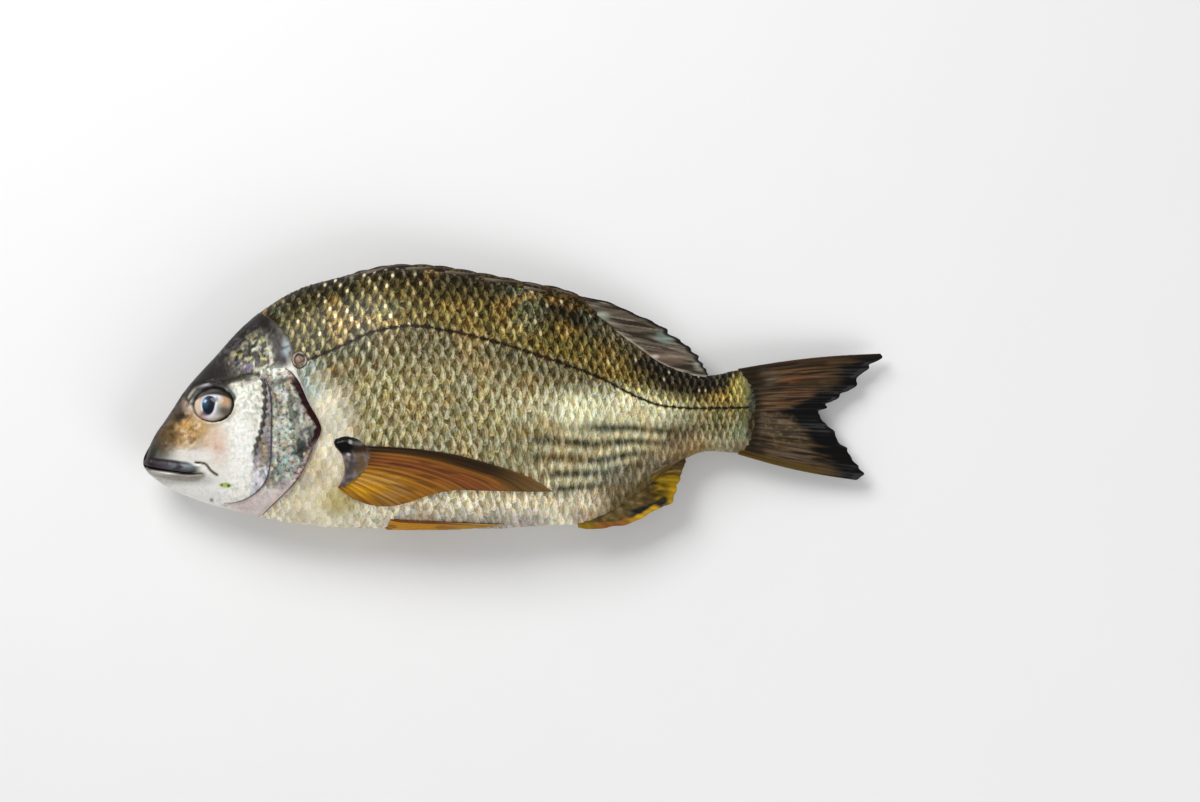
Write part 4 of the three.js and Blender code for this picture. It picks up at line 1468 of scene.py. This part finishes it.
def ray_pattern(share, reach, rays, fork=0.5):
    """1 on a ray and 0 between rays; each ray splits in two past the fork."""
    single = 0.5 + 0.5 * np.cos(2 * np.pi * share * rays)
    double = 0.5 + 0.5 * np.cos(4 * np.pi * share * rays)
    split = smooth(fork - 0.12, fork + 0.12, reach)
    return (single * (1 - split) + (0.35 * single + 0.65 * double) * split) ** 1.5


def make_fin(settings, name, outer, inner, coat, ray, reach, flip=False):
    """A fin as a thin closed body between two grids of points, coloured alike on both faces."""
    points, faces = closed_sheet(outer, inner)
    attributes = {
        "Ray": np.tile(ray.ravel(), 2),
        "Along": np.tile(np.broadcast_to(reach, ray.shape).ravel(), 2),
    }
    colour = np.tile(coat.colour.reshape(-1, 3), (2, 1))
    obj = make_mesh(name, points, faces[:, ::-1] if flip else faces, attributes, colour)
    return place_piece(obj, fin_finish(settings))


def make_middle_fin(
    settings,
    name,
    lines,
    coat,
    seed,
    thick,
    ragged,
    rays=11,
    along=44,
    ridge=0.28,
    wave=0.4,
    lean=2.0,
    first=1,
    bow=0,
):
    """A fin in the middle plane of the fish, with stiff rays and a frayed edge.

    lines are its root and its edge, thick is half its thickness at both, ragged is how deep the edge frays,
    ridge how high its rays stand, wave how far it sways, lean how its rays crowd to the front, first how long
    its first ray is, and bow how its rays curve.
    """
    columns = rays * 8 + 1
    share = np.linspace(0, 1, columns)[:, None]
    reach = np.linspace(0, 1, along)[None, :]
    root, edge = path(lines[0]), path(lines[1])
    start = root(share[:, 0])[:, None]
    end = edge(1 - (1 - share[:, 0]) ** lean)[:, None]
    rng = np.random.default_rng(seed)
    frays = np.interp(share[:, 0], np.linspace(0, 1, rays * 2 + 1), rng.uniform(0, 1, rays * 2 + 1))
    notch = 0.5 - 0.5 * np.cos(2 * np.pi * share[:, 0] * rays)
    inside = smooth(0.01, 0.1, share[:, 0]) * smooth(1, 0.92, share[:, 0])
    length = 1 - ragged * (0.55 * frays + 0.45 * notch)[:, None] * inside[:, None]
    length *= first + (1 - first) * smooth(0, 0.14, share)
    xy = start + (end - start) * (reach * length)[..., None]
    x = xy[..., 0]
    y = xy[..., 1] + bow * np.sin(np.pi * reach) * (2 * share - 1)
    ray = ray_pattern(share, reach, rays)
    _, body_half = section(start[..., 0], turn_of(start[..., 0], start[..., 1]))
    root_half = np.clip(0.8 * body_half, 0.4, thick[0])
    half = root_half + (thick[1] - root_half) * reach**0.8
    half = half + ridge * ray * (1 - 0.5 * reach) * smooth(0, 0.06, reach)
    half = half * (1 - 0.75 * smooth(0.93, 1, reach))
    ripple = wave * reach**2 * (np.sin(share * np.pi * 5) + 0.5 * np.sin(share * 23 + 1.3))
    middle = middle_at(x) + ripple
    outer = np.stack([x, y, settle(middle + half)], -1)
    inner = np.stack([x, y, settle(middle - half)], -1)
    return make_fin(settings, name, outer, inner, coat(x, y, share, reach), ray, reach)


def tail_coat(x, y, share, reach):
    """Brown tail fin: rust rays in its upper lobe, grey ones below, black ragged rear edge."""
    streak, fine, speck, broad = Noise(61), Noise(62), Noise(64), Noise(70)
    rays = streak(reach * 7, share * 130, 3)
    hair = fine(reach * 14, share * 260, 3)
    lower = smooth(0.46, 0.56, share)
    coat = Coat(x, y, (74, 57, 34))
    coat.wash((40, 31, 20), 0.6 * smooth(0.0, 0.6, broad(x, y, 5)))
    coat.wash((122, 74, 40), 0.8 * bell(reach - 0.45, 0.3) * smooth(-0.1, 0.5, rays) * (1 - lower))
    coat.wash((98, 86, 70), 0.8 * smooth(-0.1, 0.5, rays) * lower * smooth(0.8, 0.5, reach))
    coat.wash((24, 18, 12), 0.75 * smooth(0.05, 0.5, hair))
    coat.wash((134, 104, 74), 0.5 * smooth(0.25, 0.6, -hair) * smooth(0.8, 0.6, reach))
    speckle = smooth(0.2, 0.6, speck(x * 0.7, y, 0.8)) * patch(x, y, (116, -14), (10, 7), 0.8)
    coat.wash((132, 120, 90), 0.5 * speckle)
    coat.spot((128, 120, 108), 0.75 * smooth(-0.3, 0.3, hair + rays), (108, 8.4), (6, 3), 0.7)
    edge = reach + 0.04 * broad(x, y, 4)
    coat.wash((40, 29, 9), smooth(0.24, 0.1, edge))
    fork = bell(share - 0.47, 0.1)
    black = smooth(0.74, 0.88, reach + 0.26 * fork + 0.1 * rays + 0.1 * lower * smooth(1, 0.85, share))
    coat.wash((5, 4, 5), 0.98 * black)
    coat.wash((100, 78, 18), 0.9 * smooth(0.92, 0.975, share + 0.02 * hair) * smooth(0.85, 0.6, reach))
    coat.wash((44, 34, 22), 0.8 * smooth(0.05, 0.0, share))
    return coat


def back_fin_coat(x, y, share, reach):
    """Grey translucent back fin with a pale root line and a dark edge."""
    streak = Noise(63)
    coat = Coat(x, y, (104, 94, 78))
    level = y + 0.16 * x
    coat.wash((44, 36, 29), 0.85 * smooth(-0.05, 0.3, streak(x * 0.06, level, 0.95)))
    coat.wash((160, 150, 136), 0.7 * smooth(0.15, 0.5, streak(x * 0.06 + 40, level, 0.85)))
    root, _ = distance_to(DORSAL_ROOT, x, y)
    coat.wash((190, 176, 160), 0.85 * smooth(1.2, 0.5, root) * smooth(42, 48, x))
    # Painted highlight: a small bright spot by the fin's root.
    coat.spot((236, 234, 228), 0.9, (61.2, 17.4), (1.5, 0.8), 0.5)
    coat.spot((180, 190, 172), 0.8, (37.6, 34.6), (3.5, 2), 0.6)
    coat.spot((178, 182, 166), 0.7, (80.5, 14), (2.4, 2.6), 0.6)
    coat.spot((140, 164, 152), 0.7, (66, 26), (4, 3), 0.6)
    coat.spot((150, 126, 112), 0.5, (66, 17), (9, 3), 0.6)
    # Painted shadow: black along the front of the fin's root, where the fin meets the back.
    coat.wash((16, 12, 11), smooth(1.5, 0.6, root + 0.2 * streak(x, y, 2)) * smooth(46, 40, x))
    coat.wash((26, 20, 18), smooth(0.84, 0.95, reach) * 0.95)
    return coat


def belly_fin_coat(x, y, share, reach):
    """Anal fin: brown scaly sheath, yellow rear, dark wedge, orange strip along its lower edge."""
    broad, middling = Noise(65), Noise(69)
    coat = Coat(x, y, (116, 95, 48))
    coat.wash((156, 132, 86), 0.7 * smooth(0.1, 0.6, broad(x, y, 1.7)))
    coat.wash((66, 54, 32), 0.7 * smooth(0.1, 0.6, middling(x, y, 1.5)))
    yellow_rays(coat, x, y, behind_sheath(x, y))
    wedge, along = distance_to(WEDGE_LINE, x, y)
    coat.wash((14, 20, 28), 0.95 * smooth(2.4, 1.0, wedge) * smooth(0, 0.35, along))
    strip, _ = distance_to(ANAL_EDGE[:5], x, y)
    edge = smooth(3.2, 1.8, strip + 0.3 * broad(x, y, 2))
    coat.wash((206, 146, 36), 0.95 * edge)
    coat.spot((132, 66, 30), 0.7 * edge, (42, -55), (9, 4), 0.5)
    coat.wash((216, 172, 16), 0.9 * edge * smooth(49, 54, x))
    coat.spot((150, 128, 10), 0.7, (31, -56), (4, 3), 0.5)
    return coat


def make_caudal_fin(settings):
    lines = (CAUDAL_ROOT, CAUDAL_EDGE)
    shape = {"thick": (2.4, 0.5), "ragged": 0.04, "ridge": 0.32, "wave": 0.9, "lean": 1.0, "bow": -1.3}
    return make_middle_fin(settings, "caudal_fin", lines, tail_coat, 71, rays=17, along=72, **shape)


def make_soft_dorsal(settings):
    lines = (DORSAL_ROOT, DORSAL_EDGE)
    shape = {"thick": (1.5, 0.45), "ragged": 0.14, "first": 0.85}
    return make_middle_fin(settings, "back_fin", lines, back_fin_coat, 72, **shape)


def make_anal_fin(settings):
    lines = (ANAL_ROOT, ANAL_EDGE)
    return make_middle_fin(settings, "anal_fin", lines, belly_fin_coat, 73, thick=(1.7, 0.5), ragged=0.08)


def make_spines(settings):
    """The spines of the back fin, folded into its groove, lying in turn nearer to and farther from its middle
    on the upper side.
    """
    points, faces, colours = [], [], []
    rows, columns = 26, 12
    dark, pale = rgb(34, 26, 22), rgb(120, 106, 88)
    crest = LAST_SPINE_END_X - SPINE_LENGTH - FIRST_SPINE_X
    t = np.linspace(0, 1, rows)[:, None]
    turn = np.linspace(0, 2 * np.pi, columns, endpoint=False)[None, :]
    for k in range(SPINES):
        x = FIRST_SPINE_X + crest * k / (SPINES - 1) + SPINE_LENGTH * t
        radius = 0.95 * (1 - 0.7 * t**2)
        y = back_at(x) - 1.9 + 1.85 * t + 0 * turn
        z = middle_at(x) + (2.6 if k % 2 else 1.7) * (1 - 0.6 * t) + 0 * turn
        ring = np.stack([x + 0 * turn, y + radius * np.cos(turn), z + radius * np.sin(turn)], -1)
        ring[..., 1] = np.minimum(ring[..., 1], CAD_BOX[1][1] / MM - 0.05)
        points.append(ring.reshape(-1, 3))
        faces.append(grid_faces(rows, columns, k * rows * columns, wrap=True))
        darkness = smooth(0.1, 0.8, t + 0.2 * np.sin(turn))[..., None]
        colours.append((pale + (dark - pale) * darkness).reshape(-1, 3))
    points, faces, colours = np.concatenate(points), np.concatenate(faces), np.concatenate(colours)
    obj = make_mesh("back_spines", points, faces, colour=colours)
    return place_piece(obj, spine_finish(settings))


def make_spine_membrane(settings):
    """The dark fold of skin that the folded spines lie in, rising in steps."""
    x = np.linspace(FIRST_SPINE_X - 4, LAST_SPINE_END_X, 400)[:, None]
    v = np.linspace(0, 1, 21)[None, :]
    steps = 0.45 * np.abs(np.sin((x - FIRST_SPINE_X) * np.pi / 9.4))
    ends = smooth(FIRST_SPINE_X - 4, FIRST_SPINE_X + 6, x)
    stand = 0.7 * smooth(-60, -30, x) + 1.9 * bell(x - 25, 14)
    y = back_at(x) - 2.2 + (2.1 + steps + stand) * v * ends
    thick = (3.4 * (1 - v) ** 0.7 + 0.28 * v) * ends + 0.05
    sway = 0.25 * np.sin(x * 0.7) * v
    outer = np.stack([x + 0 * v, y, middle_at(x) + sway + thick], -1)
    inner = np.stack([x + 0 * v, y, middle_at(x) + sway - thick], -1)
    fold = Noise(85)(x * 0.4, 6 * v, 1.6)
    fleck = Noise(86)(x, y, 0.9)
    coat = Coat(x, y, (58, 45, 16))
    coat.wash((122, 104, 58), 0.8 * smooth(0.0, 0.4, fleck))
    coat.wash((34, 26, 10), 0.8 * smooth(0.0, 0.4, -fleck))
    coat.wash((134, 120, 114), 0.85 * smooth(-0.3, 0.2, fold) * bell(v - 0.8, 0.09) * smooth(-4, 6, x))
    coat.wash((96, 62, 32), 0.8 * smooth(-0.2, 0.3, -fold) * bell(v - 0.66, 0.16) * smooth(8, 16, x))
    coat.wash((24, 20, 17), smooth(0.84, 0.94, v))
    return make_fin(settings, "back_membrane", outer, inner, coat, np.zeros(y.shape), 0)


def pectoral_coat(x, y, share, reach):
    """Side fin: dark top ray, reddish upper rays, amber lower front."""
    broad, fine = Noise(67), Noise(68)
    line = fine(x * 0.15, share * 60, 1.6)
    coat = Coat(x, y, (176, 118, 36))
    coat.wash((230, 168, 26), 0.9 * smooth(0.4, 0.72, share) * smooth(0.9, 0.4, reach))
    coat.wash((138, 76, 40), bell(share - 0.27, 0.15) * 0.9)
    coat.wash((196, 150, 88), 0.45 * smooth(0.1, 0.6, broad(x * 0.5, y * 2, 5)) * smooth(0.2, 0.5, share))
    coat.wash((92, 52, 22), 0.6 * smooth(0.0, 0.5, line))
    coat.wash((76, 50, 20), 0.85 * smooth(0.3, 0.06, reach) * smooth(0.62, 0.3, share))
    coat.wash((34, 24, 10), 0.95 * smooth(0.16, 0.07, share + 0.02 * line))
    coat.wash((134, 98, 46), 0.8 * smooth(-12, 12, x))
    coat.wash((96, 84, 72), smooth(0.14, 0.03, reach + 0.03 * broad(x, y, 2)) * smooth(0.75, 0.45, share))
    return coat


def make_pectoral_fins(settings):
    """A long fin folded back on each flank, with its fleshy base."""
    rays, along = 14, 90
    columns = rays * 8 + 1
    share = np.linspace(0, 1, columns)[:, None]
    reach = np.linspace(0, 1, along)[None, :]
    start = path(PECTORAL_ROOT)(share[:, 0])[:, None]
    end = path(PECTORAL_EDGE)(share[:, 0] ** 0.8)[:, None]
    top = path(PECTORAL_TOP)(reach[0])[None]
    chord = start[:1] + (end[:1] - start[:1]) * reach[..., None]
    xy = start + (end - start) * reach[..., None] + (top - chord) * ((1 - share) ** 1.6)[..., None]
    x, y = xy[..., 0], xy[..., 1]
    ray = ray_pattern(share, reach, rays, fork=0.62)
    sway = 0.22 * np.sin(share * 9 + reach * 4)
    lift = 0.45 + 0.75 * smooth(0, 0.6, reach) + 0.26 * ray * (1 - 0.4 * reach)
    lift = lift + sway * smooth(0.1, 0.5, reach)
    edge_thin = 0.25 * smooth(0.06, 0, share) + 0.25 * smooth(0.94, 1, reach)
    turn = turn_of(x, y)
    coat = pectoral_coat(x, y, share, reach)
    for name, side in SIDES.items():
        outer = skin(x, turn, side, lift - edge_thin)
        inner = skin(x, turn, side, np.minimum(lift - 0.55, 0.5) - 0.15)
        make_fin(settings, f"pectoral_fin_{name}", outer, inner, coat, ray, reach, flip=side > 0)
        make_fin_base(settings, f"pectoral_base_{name}", side)


def make_fin_base(settings, name, side):
    """The fleshy grey root of the side fin, with the wet black spot above it."""
    rows, columns = 44, 36
    t = np.linspace(0, 1, rows)[:, None]
    s = np.linspace(-1, 1, columns)[None, :]
    front = path(BASE_FRONT)(t[:, 0])[:, None]
    rear = path(BASE_REAR)(t[:, 0])[:, None]
    xy = front + (rear - front) * ((s + 1) / 2)[..., None]
    x, y = xy[..., 0], xy[..., 1] + 3.4 * (1 - (s + 0.2) ** 2) * (1 - t) ** 3
    dome = np.maximum(0, 1 - np.abs(s + 0.25) ** 2.2 / 1.65) ** 0.7 * smooth(0, 0.08, t) * smooth(1, 0.85, t)
    fine = Noise(81)
    lift = -0.6 + 2.3 * dome * smooth(-1, -0.86, s) + 0.14 * fine(x, y, 2)
    points = skin(x, turn_of(x, y), side, lift)
    middling = Noise(82)
    coat = Coat(x, y, (98, 92, 92))
    coat.wash((134, 126, 122), 0.7 * smooth(0.0, 0.6, middling(x, y, 1.9)))
    coat.wash((58, 50, 52), 0.6 * smooth(0.0, 0.6, -middling(x, y, 1.9)))
    coat.wash((150, 122, 124), 0.7 * smooth(-0.7, -0.95, s))
    coat.wash((100, 74, 42), 0.95 * smooth(-0.1, 0.8, s + 0.5 * fine(x, y, 2.6)))
    coat.wash((176, 130, 28), 0.9 * smooth(0.1, 0.7, s) * smooth(0.5, 0.8, t))
    coat.wash((38, 31, 24), 0.9 * smooth(-24.4, -22.4, y + 0.8 * fine(x, y, 2)))
    coat.spot((5, 4, 5), 1, (-73.2, -20.6), (5.0, 4.0), 0.3)
    # Painted highlights: a grey sheen strip and small white glints on the wet skin by the black spot.
    coat.spot((130, 128, 124), 0.7, (-65.6, -20), (3, 0.7), 0.6)
    for spot in ((-69.8, -19.4), (-70.6, -24.6)):
        coat.spot((226, 222, 222), 0.8, spot, (0.75, 0.5), 0.7)
    coat.wash((88, 42, 50), 0.8 * smooth(0.86, 0.95, t))
    mottle = np.full(x.shape, 0.25)
    obj = make_mesh(name, points, grid_faces(rows, columns, flip=side < 0), {"Mottle": mottle}, coat.colour)
    return place_piece(obj, skin_finish(settings))


def make_pelvic_fins(settings):
    """A pair of short orange fins folded along the belly."""
    rays, along = 6, 60
    columns = rays * 8 + 1
    share = np.linspace(0, 1, columns)[:, None]
    reach = np.linspace(0, 1, along)[None, :]
    start_x = -58
    tip_x = -4 - 30 * (1 - share) ** 1.3
    x = start_x + (tip_x - start_x) * reach
    arc = 1.6 + 7.4 * share * (1 - 0.55 * reach**1.4) + 0.4 * reach
    ray = ray_pattern(share, reach, rays, fork=0.6)
    lift = -0.9 + 1.85 * smooth(0, 0.2, reach) + 0.22 * ray * smooth(0.1, 0.3, reach)
    lift = lift - 0.5 * smooth(0.95, 1, reach)
    turn = ARCS.turn(x, arc)
    broad = Noise(83)
    coat = Coat(x, arc, (222, 156, 36))
    coat.wash((140, 76, 30), 0.7 * smooth(0, 0.6, broad(x, arc * 3, 5)))
    coat.wash((92, 38, 20), 0.9 * smooth(0.8, 0.95, share))
    coat.wash((206, 162, 84), 0.7 * smooth(0.4, 0.9, reach))
    coat.wash((196, 170, 150), 0.9 * smooth(0.12, 0.02, reach))
    for name, side in SIDES.items():
        outer = skin(x, turn, side, lift)
        inner = skin(x, turn, side, lift - 0.7)
        make_fin(settings, f"pelvic_fin_{name}", outer, inner, coat, ray, reach, flip=side > 0)


# Stage

FRAME_WIDTH = 0.5182
VIEW_CENTRE = (0.03736, -0.00194)
LENS = 300.0
SENSOR = 36.0


def eye_lamp_place(a=-3.2, b=1.2, distance=1.25):
    """Where a lamp stands so that the camera sees it at (a, b) millimetres on the upper eye."""
    centre, along, up, outward = (np.array(v) for v in eye_frame(1))
    u, v = a / EYE_HALF[0], b / EYE_HALF[1]
    rise = np.sqrt(1 - u * u - v * v)
    normal = along * u / EYE_HALF[0] + up * v / EYE_HALF[1] + outward * rise / EYE_HALF[2]
    normal /= np.linalg.norm(normal)
    mirrored = 2 * normal[2] * normal - np.array([0, 0, 1])
    return tuple(centre * MM + mirrored * distance)


def make_stage(settings):
    """A pale floor, soft lights and a camera that looks straight down on the fish."""
    size = 4.0
    corners = [(-size, -size, 0), (size, -size, 0), (size, size, 0), (-size, size, 0)]
    mesh = bpy.data.meshes.new("floor")
    mesh.from_pydata(corners, [], [(0, 1, 2, 3)])
    floor = bpy.data.objects.new("floor", mesh)
    bpy.context.collection.objects.link(floor)
    floor.data.materials.append(floor_finish(settings))

    world = bpy.data.worlds.new("soft_light")
    bpy.context.scene.world = world
    world.use_nodes = True
    background = world.node_tree.nodes["Background"]
    background.inputs["Color"].default_value = (1, 1, 1, 1)
    background.inputs["Strength"].default_value = settings.world_light
    lamps = [
        ("key_light", (-0.6, 0.85, 1.0), 0.8, settings.key_light),
        ("fill_light", (0.8, -0.9, 0.9), 0.9, settings.key_light * 0.5),
        ("eye_light", eye_lamp_place(), 0.14, settings.key_light * 0.05),
    ]
    for name, place, width, power in lamps:
        light = bpy.data.lights.new(name, "AREA")
        light.size = width
        light.energy = power
        lamp = bpy.data.objects.new(name, light)
        lamp.location = place
        aim = Vector((-0.02, 0, 0.02)) - Vector(place)
        lamp.rotation_euler = aim.to_track_quat("-Z", "Y").to_euler()
        bpy.context.collection.objects.link(lamp)

    camera = bpy.data.cameras.new("camera")
    camera.lens = LENS
    camera.sensor_width = SENSOR
    eye = bpy.data.objects.new("camera", camera)
    distance = FRAME_WIDTH * LENS / SENSOR
    eye.location = (*VIEW_CENTRE, REST_HEIGHT * MM + distance)
    bpy.context.collection.objects.link(eye)
    bpy.context.scene.camera = eye
    bpy.context.scene.view_settings.view_transform = "Standard"


# Add-on


class FishSettings(bpy.types.PropertyGroup):
    """Sizes and strengths that a user would change."""

    scale_relief: FloatProperty(
        name="Scale relief",
        description="Height of a scale's rear edge over its root, in millimetres",
        default=0.5,
    )
    wetness: FloatProperty(
        name="Wetness", description="Strength of the wet film", default=0.15, min=0, max=1, subtype="FACTOR"
    )
    silver: FloatProperty(
        name="Silver", description="Metallic gleam of the scales", default=1.0, min=0, max=2, subtype="FACTOR"
    )
    floor_colour: FloatVectorProperty(
        name="Floor colour", description="Colour of the floor", default=(0.9, 0.9, 0.9), subtype="COLOR"
    )
    key_light: FloatProperty(
        name="Key light", description="Power of the main lamp", default=15.0, min=0, unit="POWER"
    )
    world_light: FloatProperty(
        name="Surround light", description="Strength of the light from all round", default=0.36, min=0
    )


def settings_of(context):
    return context.scene.fish_settings


class FISH_OT_skin(bpy.types.Operator):
    """Make the skin of the head and body"""

    bl_idname = "fish.skin"
    bl_label = "Skin"

    def execute(self, context):
        make_skin(settings_of(context))
        return {"FINISHED"}


class FISH_OT_scales(bpy.types.Operator):
    """Make the scales of both flanks"""

    bl_idname = "fish.scales"
    bl_label = "Scales"

    def execute(self, context):
        for name, side in SIDES.items():
            make_scales(settings_of(context), name, side)
        return {"FINISHED"}


class FISH_OT_head_plates(bpy.types.Operator):
    """Make the gill covers and the cheek plates"""

    bl_idname = "fish.head_plates"
    bl_label = "Head plates"

    def execute(self, context):
        make_head_plates(settings_of(context))
        make_ring_spot(settings_of(context))
        return {"FINISHED"}


class FISH_OT_eyes(bpy.types.Operator):
    """Make the eyes"""

    bl_idname = "fish.eyes"
    bl_label = "Eyes"

    def execute(self, context):
        make_eyes(settings_of(context))
        return {"FINISHED"}


class FISH_OT_middle_fins(bpy.types.Operator):
    """Make the back, tail and anal fins"""

    bl_idname = "fish.middle_fins"
    bl_label = "Back, tail and anal fins"

    def execute(self, context):
        settings = settings_of(context)
        make_spines(settings)
        make_spine_membrane(settings)
        make_soft_dorsal(settings)
        make_caudal_fin(settings)
        make_anal_fin(settings)
        return {"FINISHED"}


class FISH_OT_side_fins(bpy.types.Operator):
    """Make the pectoral and pelvic fins"""

    bl_idname = "fish.side_fins"
    bl_label = "Side fins"

    def execute(self, context):
        settings = settings_of(context)
        make_pectoral_fins(settings)
        make_pelvic_fins(settings)
        return {"FINISHED"}


class FISH_OT_stage(bpy.types.Operator):
    """Make the floor, the lights and the camera"""

    bl_idname = "fish.stage"
    bl_label = "Stage"

    def execute(self, context):
        make_stage(settings_of(context))
        return {"FINISHED"}


OPERATORS = (
    FISH_OT_skin,
    FISH_OT_scales,
    FISH_OT_head_plates,
    FISH_OT_eyes,
    FISH_OT_middle_fins,
    FISH_OT_side_fins,
    FISH_OT_stage,
)


class FISH_PT_panel(bpy.types.Panel):
    """Lists the pieces of the fish"""

    bl_idname = "FISH_PT_panel"
    bl_label = "Raw sea bream"
    bl_space_type = "VIEW_3D"
    bl_region_type = "UI"
    bl_category = "Fish"

    def draw(self, context):
        for operator in OPERATORS:
            self.layout.operator(operator.bl_idname)
        for name in FishSettings.__annotations__:
            self.layout.prop(settings_of(context), name)


CLASSES = (FishSettings, *OPERATORS, FISH_PT_panel)


def register():
    for cls in CLASSES:
        bpy.utils.register_class(cls)
    bpy.types.Scene.fish_settings = PointerProperty(type=FishSettings)


def unregister():
    del bpy.types.Scene.fish_settings
    for cls in reversed(CLASSES):
        bpy.utils.unregister_class(cls)


def main():
    register()
    for operator in OPERATORS:
        group, name = operator.bl_idname.split(".")
        getattr(getattr(bpy.ops, group), name)()


if __name__ == "__main__":
    main()
